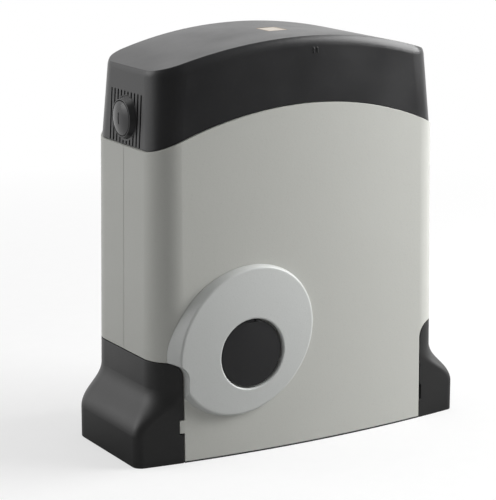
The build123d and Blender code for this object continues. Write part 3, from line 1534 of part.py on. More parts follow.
# Hatch cap: shallow cup with a domed face, snapped into the shell by fingers
hatch_front = boss_front - hatch_sink
hatch_radius = boss_hole_radius - hatch_gap
with BuildPart() as hatch_cap:
    add(turned(shaft_line, [(-hatch_front, -body_depth / 3, hatch_radius)]))
    with Locations((output_x, hatch_dome_radius - hatch_front, output_height)):
        Sphere(hatch_dome_radius, mode=Mode.INTERSECT)
    fillet(hatch_cap.faces().sort_by(Axis.Y)[0].edges(), hatch_edge_radius)
    inner_face = hatch_front - hatch_wall - hatch_radius**2 / (2 * hatch_dome_radius)
    add(turned(shaft_line, [(-inner_face, 0, hatch_radius - hatch_wall)]), mode=Mode.SUBTRACT)
    add(casing_form(-hatch_seat_gap, 0, cap_line_middle), mode=Mode.SUBTRACT)
    with BuildSketch(Plane.XZ.offset(inner_face)):
        with Locations((output_x, output_height)):
            finger_circle = hatch_hole_radius - hatch_finger_thickness / 2 - 2 * clear_gap / 3
            with PolarLocations(finger_circle, hatch_finger_count, start_angle=90):
                Rectangle(hatch_finger_thickness, 2 * margin)
    extrude(amount=-hatch_finger_length - inner_face + casing_face(output_x, output_height, casing_wall))
    with BuildSketch(Plane.XZ.offset(hatch_front - hatch_notch_reach)):
        with Locations((output_x, output_height + hatch_radius)):
            Rectangle(hatch_notch_width, 2 * hatch_notch_depth)
    extrude(amount=2 * margin, mode=Mode.SUBTRACT)
hatch_cap.part.label = "hatch_cap"
export_step(hatch_cap.part, "parts/hatch_cap.step")

# Top cover: hollow crown with vents round the lock, bosses over the tray's posts and a badge recess
vent_bottom = cap_line_end + cap_gap + vent_edge
vent_height = vent_top - vent_bottom
recess_floor = crease_middle - badge_recess
with BuildPart() as cover_bosses:
    with BuildSketch(Plane.XY.offset(post_top)):
        with GridLocations(post_spacing_x, post_spacing_y, 2, 2):
            Circle(post_radius)
    extrude(amount=crease_middle - post_top)
    add(cap_inner, mode=Mode.INTERSECT)

with BuildPart() as cover_ticks:
    with BuildSketch(Plane.XZ.offset(body_depth / 3)):
        with Locations((tick_x, crease_middle - shoulder_radius + tick_height / 4)):
            with GridLocations(tick_spacing, 0, 2, 1):
                SlotOverall(tick_height, tick_width, rotation=90)
    extrude(amount=body_depth / 2)
    add(cap_form(-tick_proud), mode=Mode.INTERSECT)
    add(cap_form(clear_gap), mode=Mode.SUBTRACT)

with BuildPart() as top_cover:
    add(cap_outer)
    add(cap_inner, mode=Mode.SUBTRACT)
    add(below_arch(cap_line_end + cap_gap, cap_line_middle + cap_gap), mode=Mode.SUBTRACT)
    with BuildSketch(Plane.YZ.offset(-body_length / 2)):
        with Locations((0, vent_bottom + vent_height / 2)):
            with GridLocations(vent_pitch, 0, vent_count, 1):
                SlotOverall(vent_height, vent_width, rotation=90)
        with Locations((0, lock_height)):
            Circle(collar_radius + clear_gap, mode=Mode.SUBTRACT)
            Circle(lock_barrel_radius + fit_gap)
    extrude(amount=body_length / 4, mode=Mode.SUBTRACT)
    with BuildSketch(Plane.XY.offset(recess_floor)):
        with Locations((badge_x, badge_y)):
            RectangleRounded(badge_length, badge_width, badge_corner)
    extrude(amount=margin, mode=Mode.SUBTRACT)
    add(cover_bosses.part)
    add(cover_ticks.part)
top_cover.part.label = "top_cover"
export_step(top_cover.part, "parts/top_cover.step")

with BuildPart() as badge_plate:
    with BuildSketch(Plane.XY.offset(recess_floor)):
        with Locations((badge_x, badge_y)):
            plate_length = badge_length - 2 * badge_gap
            plate_width = badge_width - 2 * badge_gap
            RectangleRounded(plate_length, plate_width, badge_corner - badge_gap)
    extrude(amount=badge_thickness)
badge_plate.part.label = "badge_plate"
export_step(badge_plate.part, "parts/badge_plate.step")

# Lock body: tapered collar outside, threaded barrel and nut inside
lock_face = cap_end(lock_height)
collar_tip = lock_face + collar_stand
collar_slope = (collar_radius - collar_tip_radius) / collar_stand
nut_face = lock_inner - lock_nut_radius * cap_lean - touch_gap
dial_back = collar_tip - dial_sink
with BuildPart() as lock_body:
    with BuildSketch(lock_line.offset(lock_face - collar_sink)):
        Circle(collar_radius + collar_slope * collar_sink)
    with BuildSketch(lock_line.offset(collar_tip)):
        Circle(collar_tip_radius)
    loft()
    fillet(lock_body.faces().sort_by(Axis.X)[0].edges(), collar_edge_radius)
    add(cap_outer, mode=Mode.SUBTRACT)
    add(turned(lock_line, [(cam_near + touch_gap, lock_face + collar_sink, lock_barrel_radius)]))
    add(turned(lock_line, [(nut_face - lock_nut_thickness, nut_face, lock_nut_radius)]))
    add(turned(lock_line, [(0, body_length, lock_core_radius + running_gap)]), mode=Mode.SUBTRACT)
    add(turned(lock_line, [(dial_back - touch_gap, body_length, dial_radius + dial_gap)]), mode=Mode.SUBTRACT)
lock_body.part.label = "lock_body"
export_step(lock_body.part, "parts/lock_body.step")

# Lock cylinder: domed dial with an upright key slot, and the core behind it
dome_radius = (dial_radius**2 + dial_dome**2) / (2 * dial_dome)
dial_crown = collar_tip + dial_dome
with BuildPart() as lock_cylinder:
    add(turned(lock_line, [(cam_near, dial_back, lock_core_radius), (dial_back, dial_crown, dial_radius)]))
    with Locations((dome_radius - dial_crown, 0, lock_height)):
        Sphere(dome_radius, mode=Mode.INTERSECT)
    with BuildSketch(lock_line.offset(dial_crown)):
        Rectangle(key_slot_width, key_slot_height)
    extrude(amount=-key_slot_depth - dial_dome, mode=Mode.SUBTRACT)
lock_cylinder.part.label = "lock_cylinder"
export_step(lock_cylinder.part, "parts/lock_cylinder.step")

with BuildPart() as lock_cam:
    with BuildSketch(lock_line.offset(cam_far)):
        Circle(cam_hub_radius)
        with Locations((0, -cam_reach / 2 + cam_width / 4)):
            SlotOverall(cam_reach + cam_width / 2, cam_width, rotation=90)
    extrude(amount=cam_thickness)
lock_cam.part.label = "lock_cam"
export_step(lock_cam.part, "parts/lock_cam.step")
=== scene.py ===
# %% [markdown]
# A sliding gate motor stands on the ground beside a gate. Its gearbox, motor and board hide
# inside a painted casing with a black cover and black feet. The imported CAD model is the
# skeleton here: every solid is already in its place, in metres, with +Z up and the front
# towards -Y. This lesson gives each solid its finish and adds the small pieces that a CAD
# model leaves out.
# %% Load the frame
from math import cos, radians, sin

import bmesh
import bpy
from mathutils import Matrix, Vector


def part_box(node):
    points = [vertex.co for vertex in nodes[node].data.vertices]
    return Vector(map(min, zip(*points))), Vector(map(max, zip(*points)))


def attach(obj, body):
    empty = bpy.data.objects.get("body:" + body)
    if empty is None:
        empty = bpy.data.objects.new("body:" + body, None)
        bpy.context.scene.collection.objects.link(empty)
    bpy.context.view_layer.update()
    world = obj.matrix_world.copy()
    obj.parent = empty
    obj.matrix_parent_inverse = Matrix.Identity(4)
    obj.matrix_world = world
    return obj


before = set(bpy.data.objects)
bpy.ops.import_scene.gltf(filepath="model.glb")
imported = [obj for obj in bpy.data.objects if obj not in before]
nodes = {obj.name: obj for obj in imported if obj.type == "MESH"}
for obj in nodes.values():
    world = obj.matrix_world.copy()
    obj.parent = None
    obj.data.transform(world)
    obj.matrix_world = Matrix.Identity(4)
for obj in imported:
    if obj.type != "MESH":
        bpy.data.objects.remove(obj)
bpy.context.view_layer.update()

MM = 0.001

# %% [markdown]
# A finish is a small network of shader nodes. Written by hand, such a network is long, so
# two helpers carry it. Number wraps a number that travels between nodes, and ordinary
# arithmetic on it adds Math nodes. Finish owns one material, or the world, and adds any
# other node through one method. Everything is measured in Object coordinates, which are
# metres here, so a grain of half a millimetre stays half a millimetre on every piece.
# %% Helpers for materials


class Number:
    """A number on its way through a material. Arithmetic on it adds Math nodes."""

    def __init__(self, finish, socket):
        self.finish = finish
        self.socket = socket

    def maths(self, operation, first, second=0.0):
        return self.finish.node("ShaderNodeMath", {"operation": operation}, {0: first, 1: second})

    def __add__(self, other):
        return self.maths("ADD", self, other)

    def __radd__(self, other):
        return self.maths("ADD", other, self)

    def __sub__(self, other):
        return self.maths("SUBTRACT", self, other)

    def __rsub__(self, other):
        return self.maths("SUBTRACT", other, self)

    def __mul__(self, other):
        return self.maths("MULTIPLY", self, other)

    def __rmul__(self, other):
        return self.maths("MULTIPLY", other, self)

    def above(self, limit):
        return self.maths("GREATER_THAN", self, limit)

    def fraction(self):
        return self.maths("FRACT", self)

    def or_larger(self, other):
        return self.maths("MAXIMUM", self, other)


class Finish:
    """A material in the making, or the world."""

    def __init__(self, name, family=bpy.data.materials, place="Object"):
        self.owner = family.new(name)
        self.owner.use_nodes = True
        self.tree = self.owner.node_tree
        self.tree.nodes.clear()
        self.place = self.node("ShaderNodeTexCoord", output=place)

    def node(self, kind, settings=None, inputs=None, output=0):
        """Adds one node, with its settings first, and gives back one of its outputs."""
        made = self.tree.nodes.new(kind)
        for name, value in (settings or {}).items():
            setattr(made, name, value)
        for name, value in (inputs or {}).items():
            if isinstance(value, Number):
                value = value.socket
            if isinstance(value, bpy.types.NodeSocket):
                self.tree.links.new(value, made.inputs[name])
            else:
                made.inputs[name].default_value = value
        result = made.outputs[output]
        return Number(self, result) if result.type == "VALUE" else result

    def moved(self, centre=(0, 0, 0), stretch=(1, 1, 1)):
        """Object coordinates, measured from a point and stretched."""
        shifted = self.node(
            "ShaderNodeVectorMath", {"operation": "SUBTRACT"}, {0: self.place, 1: centre}
        )
        return self.node("ShaderNodeMapping", None, {"Vector": shifted, "Scale": stretch})

    def noise(self, size, detail=2.0, where=None):
        """Soft noise whose blotches measure about size metres."""
        inputs = {"Vector": where or self.place, "Scale": 1 / size, "Detail": detail}
        return self.node("ShaderNodeTexNoise", None, inputs, "Fac")

    def span(self, value, low, high, start=0.0, end=1.0):
        """Maps a number from one range to another and clamps it."""
        inputs = {"Value": value, "From Min": low, "From Max": high, "To Min": start, "To Max": end}
        return self.node("ShaderNodeMapRange", None, inputs)

    def mix(self, share, first, second):
        """A colour between two colours."""
        return self.node("ShaderNodeMix", {"data_type": "RGBA"}, {0: share, 6: first, 7: second}, 2)

    def soft_edges(self, radius):
        """A normal that rounds the edges of the solid by a small radius."""
        return self.node("ShaderNodeBevel", {"samples": 4}, {"Radius": radius})

    def bump(self, height, depth, normal):
        """A normal pushed in and out by a height, depth metres deep."""
        inputs = {"Height": height, "Distance": depth, "Normal": normal}
        return self.node("ShaderNodeBump", None, inputs)

    def closed(self, shader, output="ShaderNodeOutputMaterial"):
        """Sends a shader to the output and gives back the material or the world."""
        self.tree.links.new(shader, self.tree.nodes.new(output).inputs["Surface"])
        return self.owner

    def surface(self, **sockets):
        """Closes the material with a Principled shader."""
        named = {name.replace("_", " "): value for name, value in sockets.items()}
        return self.closed(self.node("ShaderNodeBsdfPrincipled", None, named))


def rgb(red, green, blue):
    return (red, green, blue, 1.0)


WHITE = rgb(1, 1, 1)


def dress(material, *names):
    """Puts one material on several solids."""
    for name in names:
        slots = nodes[name].data.materials
        slots.clear()
        slots.append(material)
    print(material.name, "->", ", ".join(names))


# %% [markdown]
# The casing shells are painted with a satin powder coat. Close up, such a coat is not flat:
# it has a faint orange peel, a millimetre or so wide, and tiny pigment specks. The sheen
# is broad and soft, so the roughness stays near the middle. The oval escutcheon has the
# same paint, made a shade lighter here: painted light for its brighter face.
# %% Paint of the casing


def powder_coat(name, light, dark, roughness):
    """Satin paint that drifts between two shades."""
    paint = Finish(name)
    clouds = paint.noise(0.09, 3.0)
    specks = paint.span(paint.noise(0.0007, 1.0), 0.62, 0.74)
    tone = paint.mix(clouds, dark, light)
    colour = paint.mix(specks * 0.22, tone, rgb(0.36, 0.36, 0.35))
    peel = paint.noise(0.0022, 2.0) + 0.5 * paint.noise(0.0006, 1.0)
    normal = paint.bump(peel, 0.00006, paint.soft_edges(0.0008))
    sheen = paint.span(paint.noise(0.03, 3.0), 0.3, 0.7, roughness - 0.03, roughness + 0.04)
    return paint.surface(Base_Color=colour, Roughness=sheen, Normal=normal)


casing_paint = powder_coat("casing_paint", rgb(0.635, 0.64, 0.60), rgb(0.605, 0.61, 0.57), 0.40)
# The escutcheon's copy of the paint is a shade lighter than the casing's: painted light, not a
# different paint.
trim_paint = powder_coat("trim_paint", rgb(0.65, 0.665, 0.65), rgb(0.62, 0.635, 0.62), 0.38)
dress(casing_paint, "front_shell", "rear_shell")
dress(trim_paint, "front_escutcheon")

# %% [markdown]
# The top cover, the feet, the hatch cap and the lock are moulded in black plastic. The mould
# was spark eroded, which leaves a fine even grain. Handling polishes it a little here and
# there, so the roughness drifts. Each moulding gets its own depth of grain.
# %% Black mouldings


def moulding(name, colour, roughness, grain, depth, edge=0.0006):
    """Plastic with a grain of that size and depth, and edges of that radius, in metres."""
    plastic = Finish(name)
    drift = plastic.noise(0.05, 3.0)
    fine = plastic.noise(grain, 2.0)
    dust = plastic.span(plastic.noise(0.004, 4.0), 0.55, 0.75)
    lighter = tuple(0.012 + 1.25 * part for part in colour[:3]) + (1.0,)
    shade = plastic.mix(drift * 0.5 + dust * 0.2, colour, lighter)
    normal = plastic.bump(fine, depth, plastic.soft_edges(edge))
    sheen = plastic.span(drift, 0.25, 0.75, roughness - 0.05, roughness + 0.05)
    return plastic.surface(Base_Color=shade, Roughness=sheen, Normal=normal)


cover_black = moulding("cover_black", rgb(0.010, 0.010, 0.011), 0.33, 0.0007, 0.00004, 0.0010)
foot_black = moulding("foot_black", rgb(0.010, 0.010, 0.010), 0.42, 0.0008, 0.00005)
hatch_black = moulding("hatch_black", rgb(0.008, 0.008, 0.009), 0.36, 0.0006, 0.00003)
lock_black = moulding("lock_black", rgb(0.008, 0.008, 0.009), 0.28, 0.0005, 0.00001, 0.0004)
tray_black = moulding("tray_black", rgb(0.035, 0.036, 0.040), 0.46, 0.0009, 0.00005)
part_black = moulding("part_black", rgb(0.015, 0.015, 0.017), 0.36, 0.0005, 0.00002, 0.0003)
knob_red = moulding("knob_red", rgb(0.42, 0.03, 0.02), 0.34, 0.0007, 0.00002)
terminal_green = moulding("terminal_green", rgb(0.03, 0.20, 0.08), 0.36, 0.0006, 0.00002, 0.0003)
cell_grey = moulding("cell_grey", rgb(0.55, 0.55, 0.53), 0.34, 0.0010, 0.00001)
dress(cover_black, "top_cover")
dress(foot_black, "left_foot_cover", "right_foot_cover")
dress(hatch_black, "hatch_cap")
dress(lock_black, "lock_body", "lock_cylinder")
dress(tray_black, "electronics_tray")
dress(part_black, "relays", "button_housings", "encoder_sensor", "encoder_disc")
dress(knob_red, "release_knob")
dress(terminal_green, "terminal_blocks")
dress(cell_grey, "run_capacitor")

# %% [markdown]
# Rubber shows no highlight to speak of, only a dull bloom. The seal and the cable grommet
# share it.
# %% Rubber


def rubber():
    soft = Finish("black_rubber")
    bloom = soft.span(soft.noise(0.006, 4.0), 0.4, 0.7)
    colour = soft.mix(bloom, rgb(0.014, 0.014, 0.014), rgb(0.045, 0.044, 0.042))
    normal = soft.bump(soft.noise(0.0006), 0.00003, soft.soft_edges(0.0005))
    return soft.surface(Base_Color=colour, Roughness=0.78, Normal=normal)


dress(rubber(), "shaft_seal", "cable_grommet")

# %% [markdown]
# Metal parts differ mostly in their marks. Turned and ground steel carries fine lines, which
# are noise squeezed along one direction. Zinc plating adds faint warm and cool clouds. A
# sand casting is matt and bumpy, and a bronze wheel is warm with tool marks.
# %% Metals


def metal(name, colour, tint, roughness, stretch, size, depth):
    """Bare metal. Its marks have that size and depth in metres and are drawn out by stretch."""
    bare = Finish(name)
    lines = bare.noise(size, 3.0, bare.moved(stretch=stretch))
    cloud = bare.span(bare.noise(0.012, 3.0), 0.35, 0.7)
    shade = bare.mix(cloud * 0.6 + lines * 0.3, colour, tint)
    normal = bare.bump(lines, depth, bare.soft_edges(0.0004))
    rough = bare.span(lines + cloud * 0.5, 0.3, 1.2, roughness - 0.06, roughness + 0.10)
    return bare.surface(Base_Color=shade, Roughness=rough, Metallic=1.0, Normal=normal)


ground_steel = metal(
    "ground_steel",
    rgb(0.60, 0.60, 0.61),
    rgb(0.50, 0.50, 0.52),
    roughness=0.26,
    stretch=(1, 0.05, 1),
    size=0.0008,
    depth=0.00001,
)
zinc_plate = metal(
    "zinc_plate",
    rgb(0.62, 0.62, 0.60),
    rgb(0.60, 0.58, 0.50),
    roughness=0.34,
    stretch=(1, 1, 0.08),
    size=0.0012,
    depth=0.00001,
)
gear_steel = metal(
    "gear_steel",
    rgb(0.50, 0.50, 0.50),
    rgb(0.40, 0.38, 0.34),
    roughness=0.32,
    stretch=(1, 0.04, 1),
    size=0.0010,
    depth=0.00003,
)
cast_alloy = metal(
    "cast_alloy",
    rgb(0.60, 0.61, 0.62),
    rgb(0.46, 0.47, 0.48),
    roughness=0.50,
    stretch=(1, 1, 1),
    size=0.0012,
    depth=0.00012,
)
wheel_bronze = metal(
    "wheel_bronze",
    rgb(0.62, 0.38, 0.15),
    rgb(0.50, 0.28, 0.10),
    roughness=0.32,
    stretch=(1, 0.06, 1),
    size=0.0010,
    depth=0.00002,
)
core_iron = metal(
    "core_iron",
    rgb(0.26, 0.26, 0.27),
    rgb(0.17, 0.16, 0.15),
    roughness=0.48,
    stretch=(0.02, 0.02, 1),
    size=0.0005,
    depth=0.00004,
)
winding_copper = metal(
    "winding_copper",
    rgb(0.55, 0.20, 0.08),
    rgb(0.36, 0.10, 0.03),
    roughness=0.34,
    stretch=(1, 1, 0.15),
    size=0.0010,
    depth=0.0001,
)
dress(ground_steel, "output_shaft", "worm_shaft", "clutch_rod", "pinion_key", "front_bearing")
dress(ground_steel, "rear_bearing", "lower_worm_bearing", "upper_worm_bearing", "motor_bearing")
dress(zinc_plate, "housing_bolts", "gearbox_screws", "motor_tie_bolts", "frame_screws")
dress(zinc_plate, "board_screws", "left_upright", "right_upright", "capacitor_clip", "lock_cam")
dress(zinc_plate, "levelling_screws", "transformer_clamp", "pinion_screw", "pinion_washer")
dress(gear_steel, "pinion", "clutch_ring")
dress(cast_alloy, "gearbox_housing", "gearbox_cover", "motor_end_bell")
dress(wheel_bronze, "worm_wheel")
dress(core_iron, "stator_core", "rotor_core")
dress(winding_copper, "stator_windings")

# %% [markdown]
# The base plate and the motor can are steel under black powder coat, which is rougher than
# a moulding and shows a crinkle.
# %% Black powder coat


def crinkle_black():
    coat = Finish("crinkle_black")
    crinkle = coat.noise(0.0011, 3.0)
    clouds = coat.noise(0.04, 2.0)
    colour = coat.mix(clouds, rgb(0.014, 0.014, 0.015), rgb(0.030, 0.030, 0.031))
    normal = coat.bump(crinkle, 0.00010, coat.soft_edges(0.0005))
    rough = coat.span(crinkle, 0.3, 0.7, 0.46, 0.58)
    return coat.surface(Base_Color=colour, Roughness=rough, Normal=normal)


dress(crinkle_black(), "base_plate", "motor_can")

# %% [markdown]
# A circuit board is dark green varnish over copper tracks. The tracks stand slightly proud
# and look lighter. Two noises, one drawn out along the board and one across it, are cut into
# bands, which gives straight runs that meet at right angles. Cells about 5 mm wide place the
# plated holes.
# %% Circuit boards


def circuit_board():
    board = Finish("circuit_board")
    along = board.noise(0.006, 0.0, board.moved(stretch=(0.12, 1.0, 1.0)))
    across = board.noise(0.006, 0.0, board.moved(stretch=(1.0, 0.12, 1.0)))
    bands = 9.0
    banded = (along * bands).fraction().above(0.62)
    crossed = (across * bands).fraction().above(0.70)
    track = banded.or_larger(crossed)
    pitch = 0.00508
    from_hole = board.node(
        "ShaderNodeTexVoronoi",
        {"feature": "F1", "distance": "EUCLIDEAN"},
        {"Vector": board.place, "Scale": 1 / pitch, "Randomness": 0.35},
        "Distance",
    )
    pad = 1.0 - from_hole.above(0.16)
    green = board.mix(track, rgb(0.010, 0.075, 0.030), rgb(0.022, 0.130, 0.052))
    colour = board.mix(pad * 0.9, green, rgb(0.62, 0.60, 0.52))
    height = track * 0.5 + pad * 0.5
    normal = board.bump(height, 0.00006, board.soft_edges(0.0003))
    return board.surface(Base_Color=colour, Roughness=0.30, Metallic=pad * 0.8, Normal=normal)


dress(circuit_board(), "control_board", "receiver_module")

# %% [markdown]
# A toroidal transformer is a ring wound with wire and wrapped in varnished tape. Each turn
# of the tape overlaps the last one, which shows as slanted lines that run round the ring.
# The angle about the ring's axis comes from a radial gradient that is centred on the ring.
# %% Transformer tape


def tape_wrap():
    wrap = Finish("tape_wrap")
    low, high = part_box("transformer")
    centre = (low + high) / 2
    around = wrap.node(
        "ShaderNodeTexGradient", {"gradient_type": "RADIAL"}, {"Vector": wrap.moved(centre)}, "Fac"
    )
    slant = wrap.noise(0.03, 1.0) * 0.02
    wraps = 44.0
    turns = ((around + slant) * wraps).fraction()
    edge = wrap.span(turns, 0.0, 0.14)
    tone = wrap.mix(turns, rgb(0.55, 0.36, 0.05), rgb(0.70, 0.50, 0.10))
    colour = wrap.mix(edge, rgb(0.25, 0.15, 0.02), tone)
    normal = wrap.bump(turns, 0.0004, wrap.soft_edges(0.0005))
    rough = wrap.span(wrap.noise(0.01, 2.0), 0.3, 0.7, 0.28, 0.42)
    return wrap.surface(Base_Color=colour, Roughness=rough, Normal=normal)


dress(tape_wrap(), "transformer")

# %% [markdown]
# The small electronic parts stand out against the black tray: capacitors in blue sleeves, a
# fuse with bright metal caps and clips, and coloured button caps.
# %% Small parts on the board
sleeve_blue = moulding("sleeve_blue", rgb(0.02, 0.04, 0.16), 0.26, 0.0008, 0.00001, 0.0003)
button_blue = moulding("button_blue", rgb(0.03, 0.16, 0.45), 0.32, 0.0006, 0.00001, 0.0004)
button_grey = moulding("button_grey", rgb(0.35, 0.35, 0.34), 0.34, 0.0006, 0.00001, 0.0004)
dress(sleeve_blue, "board_capacitors")
dress(button_blue, "step_button")
dress(button_grey, "learn_button")
dress(zinc_plate, "fuse_holder")

# %% [markdown]
# The badge let into the cover is a small pale plate. It stays blank here, with a satin
# face and a fine brushed line along it.
# %% Badge


def badge_face():
    plate = Finish("badge_face")
    brushed = plate.noise(0.0006, 3.0, plate.moved(stretch=(0.03, 1, 1)))
    colour = plate.mix(brushed, rgb(0.60, 0.53, 0.45), rgb(0.70, 0.63, 0.55))
    normal = plate.bump(brushed, 0.00001, plate.soft_edges(0.0003))
    rough = plate.span(brushed, 0.3, 0.7, 0.32, 0.42)
    return plate.surface(Base_Color=colour, Roughness=rough, Normal=normal)


dress(badge_face(), "badge_plate")

# %% [markdown]
# Now the small pieces that a CAD model leaves out. On the board stand a controller, two
# driver chips, three trimmers and a row of signal lamps, and a thin warm border runs round
# the badge. Each one starts as a bmesh cube or cylinder, gets a small bevel, is put on the
# solid that carries it and rides on that solid's body. Their places on the board are free of
# the solids and are measured from its middle in millimetres. A row of CHIPS holds x, y,
# length and width.
# %% Small pieces
CHIPS = ((-38, -6, 13, 13), (-60, -6, 10, 6), (48, 18, 10, 6))
CHIP_HEIGHT = 2 * MM
TRIMMER_COLUMNS = (-58, -48, -38)
TRIMMER_ROW = -22
TRIMMER_SIZE = (7 * MM, 7 * MM, 5 * MM)
DIAL_RADIUS = 2.4 * MM
DIAL_HEIGHT = 0.8 * MM
LAMP_COLUMNS = (-20, -13, -6, 1, 8, 15)
LAMP_ROW = -24
LAMP_RADIUS = 1.5 * MM
LAMP_HEIGHT = 4 * MM
LAMP_DOME = 1.3 * MM
SMALL_EDGE = 0.3 * MM
BORDER_WIDTH = 0.9 * MM
BORDER_HEIGHT = 0.12 * MM
BORDER_CORNER = 1.5 * MM


def mesh_piece(name, mesh, material):
    """Makes an object from a bmesh and gives it a material."""
    data = bpy.data.meshes.new(name)
    mesh.to_mesh(data)
    mesh.free()
    data.materials.append(material)
    piece = bpy.data.objects.new(name, data)
    bpy.context.scene.collection.objects.link(piece)
    return piece


def soften(mesh, edges, radius, segments):
    """Rounds edges with a bevel."""
    bmesh.ops.bevel(
        mesh,
        geom=edges,
        offset=radius,
        affect="EDGES",
        segments=segments,
        profile=0.5,
        material=-1,
    )


def edges_of(mesh, corners):
    """The edges that end at some of these corners, in the order of the mesh."""
    return [edge for edge in mesh.edges if edge.verts[0] in corners or edge.verts[1] in corners]


def brick(mesh, foot, size):
    """A block with soft edges whose underside is centred on foot."""
    middle = Vector(foot) + Vector((0, 0, size[2] / 2))
    place = Matrix.Translation(middle) @ Matrix.Diagonal((*size, 1.0))
    corners = set(bmesh.ops.create_cube(mesh, size=1.0, matrix=place)["verts"])
    soften(mesh, edges_of(mesh, corners), SMALL_EDGE, 2)


def peg(mesh, foot, radius, height, rounding):
    """An upright cylinder with a rounded upper rim whose underside is centred on foot."""
    place = Matrix.Translation(Vector(foot) + Vector((0, 0, height / 2)))
    made = bmesh.ops.create_cone(
        mesh,
        cap_ends=True,
        segments=24,
        radius1=radius,
        radius2=radius,
        depth=height,
        matrix=place,
    )
    near_top = foot[2] + height - rounding / 2
    top = {corner for corner in made["verts"] if corner.co.z > near_top}
    rim = [edge for edge in mesh.edges if edge.verts[0] in top and edge.verts[1] in top]
    soften(mesh, rim, rounding, 3)


def settle(name, mesh, material, body):
    """Turns a bmesh into a piece that rides on a body."""
    piece = mesh_piece(name, mesh, material)
    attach(piece, body)
    print(name, "rides on", body)


board_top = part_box("control_board")[1].z
chips = bmesh.new()
for x, y, length, width in CHIPS:
    brick(chips, (x * MM, y * MM, board_top), (length * MM, width * MM, CHIP_HEIGHT))
settle("board_chips", chips, part_black, "chassis")

trimmers = bmesh.new()
dials = bmesh.new()
for x in TRIMMER_COLUMNS:
    foot = Vector((x * MM, TRIMMER_ROW * MM, board_top))
    brick(trimmers, foot, TRIMMER_SIZE)
    peg(dials, foot + Vector((0, 0, TRIMMER_SIZE[2])), DIAL_RADIUS, DIAL_HEIGHT, SMALL_EDGE)
settle("trimmers", trimmers, button_blue, "chassis")
settle("trimmer_dials", dials, cell_grey, "chassis")

lamp_red = moulding("lamp_red", rgb(0.45, 0.02, 0.015), 0.16, 0.0005, 0.000005, 0.0003)
lamps = bmesh.new()
for x in LAMP_COLUMNS:
    peg(lamps, (x * MM, LAMP_ROW * MM, board_top), LAMP_RADIUS, LAMP_HEIGHT, LAMP_DOME)
settle("signal_lamps", lamps, lamp_red, "chassis")

badge_low, badge_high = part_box("badge_plate")
badge_size = badge_high - badge_low
centre = (badge_low + badge_high) / 2
spot = Matrix.Translation((centre.x, centre.y, badge_high.z + BORDER_HEIGHT / 2))
slab = Matrix.Diagonal((badge_size.x, badge_size.y, BORDER_HEIGHT, 1.0))
border = bmesh.new()
bmesh.ops.create_cube(border, size=1.0, matrix=spot @ slab)
upright = [e for e in border.edges if abs(e.verts[0].co.z - e.verts[1].co.z) > BORDER_HEIGHT / 2]
soften(border, upright, BORDER_CORNER, 4)
border.normal_update()
lids = [face for face in border.faces if abs(face.normal.z) > 0.9]
bmesh.ops.inset_region(border, faces=lids, thickness=BORDER_WIDTH)
bmesh.ops.delete(border, geom=lids, context="FACES")
border_warm = metal(
    "border_warm",
    rgb(0.52, 0.36, 0.20),
    rgb(0.42, 0.28, 0.14),
    roughness=0.34,
    stretch=(1, 1, 1),
    size=0.0008,
    depth=0.000005,
)
settle("badge_border", border, border_warm, "cover")

# %% [markdown]
# The floor is grey and catches a soft shadow. What makes it look white is a glow that only
# rays from the camera see, because a white floor would throw its light up at the object and
# take the shade away from its left side. Far from the object the glow reaches plain white,
# so no horizon shows. Glossy rays see the white as well, but only behind the object, where
# the backdrop is.
# %% Floor
FLOOR_RADIUS = 6.0
FADE_START = 0.45
FADE_END = 1.3
NEAR_GLOW = 0.60


def studio_floor():
    pale = Finish("studio_floor")
    camera_ray = pale.node("ShaderNodeLightPath", output="Is Camera Ray")
    glossy_ray = pale.node("ShaderNodeLightPath", output="Is Glossy Ray")
    depth = pale.node("ShaderNodeSeparateXYZ", None, {0: pale.place}, "Y")
    seen = camera_ray + glossy_ray * pale.span(depth, 0.0, 0.4)
    distance = pale.node("ShaderNodeVectorMath", {"operation": "LENGTH"}, {0: pale.place}, "Value")
    fade = pale.span(distance, FADE_START, FADE_END)
    colour = pale.mix(pale.noise(0.02, 2.0), rgb(0.36, 0.36, 0.36), rgb(0.38, 0.38, 0.38))
    lit = pale.node("ShaderNodeBsdfDiffuse", None, {"Color": colour})
    glow = pale.node("ShaderNodeEmission", None, {"Color": WHITE, "Strength": NEAR_GLOW})
    white = pale.node("ShaderNodeEmission", None, {"Color": WHITE, "Strength": 1.0})
    both = pale.node("ShaderNodeAddShader", None, {0: lit, 1: glow})
    near = pale.node("ShaderNodeMixShader", None, {0: seen, 1: lit, 2: both})
    return pale.closed(
        pale.node("ShaderNodeMixShader", None, {0: fade * seen, 1: near, 2: white})
    )


floor_mesh = bmesh.new()
bmesh.ops.create_circle(floor_mesh, cap_ends=True, segments=64, radius=FLOOR_RADIUS)
mesh_piece("studio_floor", floor_mesh, studio_floor())
print("floor radius", FLOOR_RADIUS, "m")

# %% [markdown]
# The main light is a large soft one, far round to the right. The bowed front turns into it
# from left to right, so the paint runs from a dim grey at the left corner to a pale grey at
# the right. A weaker light behind on the left keeps the narrow end readable and leaves a
# grey sheen on the black plastic beside the lock. A faint one overhead fills the rest.
# The world gives every surface the same plain level. Only glossy rays see it change: dim in
# front, where the room was dark, and white behind, so the crown of the black cover mirrors
# the backdrop.
# %% Lights
AIM_OF_LIGHTS = Vector((0, 0, 0.2))
PLAIN_LEVEL = 0.24


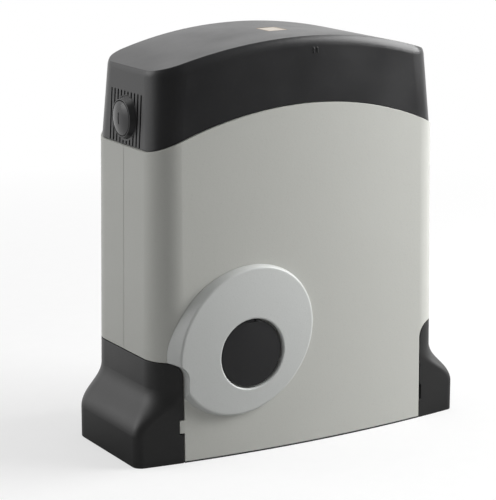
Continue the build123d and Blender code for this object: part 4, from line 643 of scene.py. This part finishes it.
def soft_light(name, place, width, height, power):
    lamp = bpy.data.lights.new(name, "AREA")
    lamp.shape = "RECTANGLE"
    lamp.size = width
    lamp.size_y = height
    lamp.energy = power
    holder = bpy.data.objects.new(name, lamp)
    bpy.context.scene.collection.objects.link(holder)
    holder.location = place
    holder.rotation_euler = (AIM_OF_LIGHTS - Vector(place)).to_track_quat("-Z", "Y").to_euler()
    print(name, "at", place, "with", power, "W")


soft_light("key_light", (1.64, -0.66, 1.14), 1.4, 1.4, 55)
soft_light("left_light", (-1.63, 1.14, 1.10), 1.2, 1.4, 12)
soft_light("top_light", (0.1, 0.3, 2.1), 1.6, 1.2, 6)

sky = Finish("studio", bpy.data.worlds, "Generated")
heading = sky.node("ShaderNodeSeparateXYZ", None, {0: sky.place}, "Y")
mirrored = sky.node(
    "ShaderNodeMapRange",
    {"interpolation_type": "SMOOTHSTEP"},
    {"Value": heading, "From Min": -0.3, "From Max": 0.45, "To Min": 0.25, "To Max": 1.0},
)
glossy_ray = sky.node("ShaderNodeLightPath", output="Is Glossy Ray")
camera_ray = sky.node("ShaderNodeLightPath", output="Is Camera Ray")
level = PLAIN_LEVEL + glossy_ray * (mirrored - PLAIN_LEVEL)
around = sky.node("ShaderNodeBackground", None, {"Color": WHITE, "Strength": level})
backdrop = sky.node("ShaderNodeBackground", None, {"Color": WHITE, "Strength": 1.0})
shown = sky.node("ShaderNodeMixShader", None, {0: camera_ray, 1: around, 2: backdrop})
bpy.context.scene.world = sky.closed(shown, "ShaderNodeOutputWorld")

# %% [markdown]
# The camera stands in front on the left, a little above the object, with a long lens. Its
# place was worked out from the edges that the photograph shows.
# %% Camera
AZIMUTH = radians(-30.88)
ELEVATION = radians(13.38)
DISTANCE = 1.8967
AIM = Vector((-0.0218, 0.0, 0.1702))

lens = bpy.data.cameras.new("camera")
lens.sensor_width = 36.0
lens.lens = 145.97
camera = bpy.data.objects.new("camera", lens)
bpy.context.scene.collection.objects.link(camera)
back = Vector((sin(AZIMUTH) * cos(ELEVATION), -cos(AZIMUTH) * cos(ELEVATION), sin(ELEVATION)))
camera.location = AIM + DISTANCE * back
camera.rotation_euler = (-back).to_track_quat("-Z", "Y").to_euler()
bpy.context.scene.camera = camera
bpy.context.scene.view_settings.view_transform = "Standard"
print("camera at", [round(v, 3) for v in camera.location])
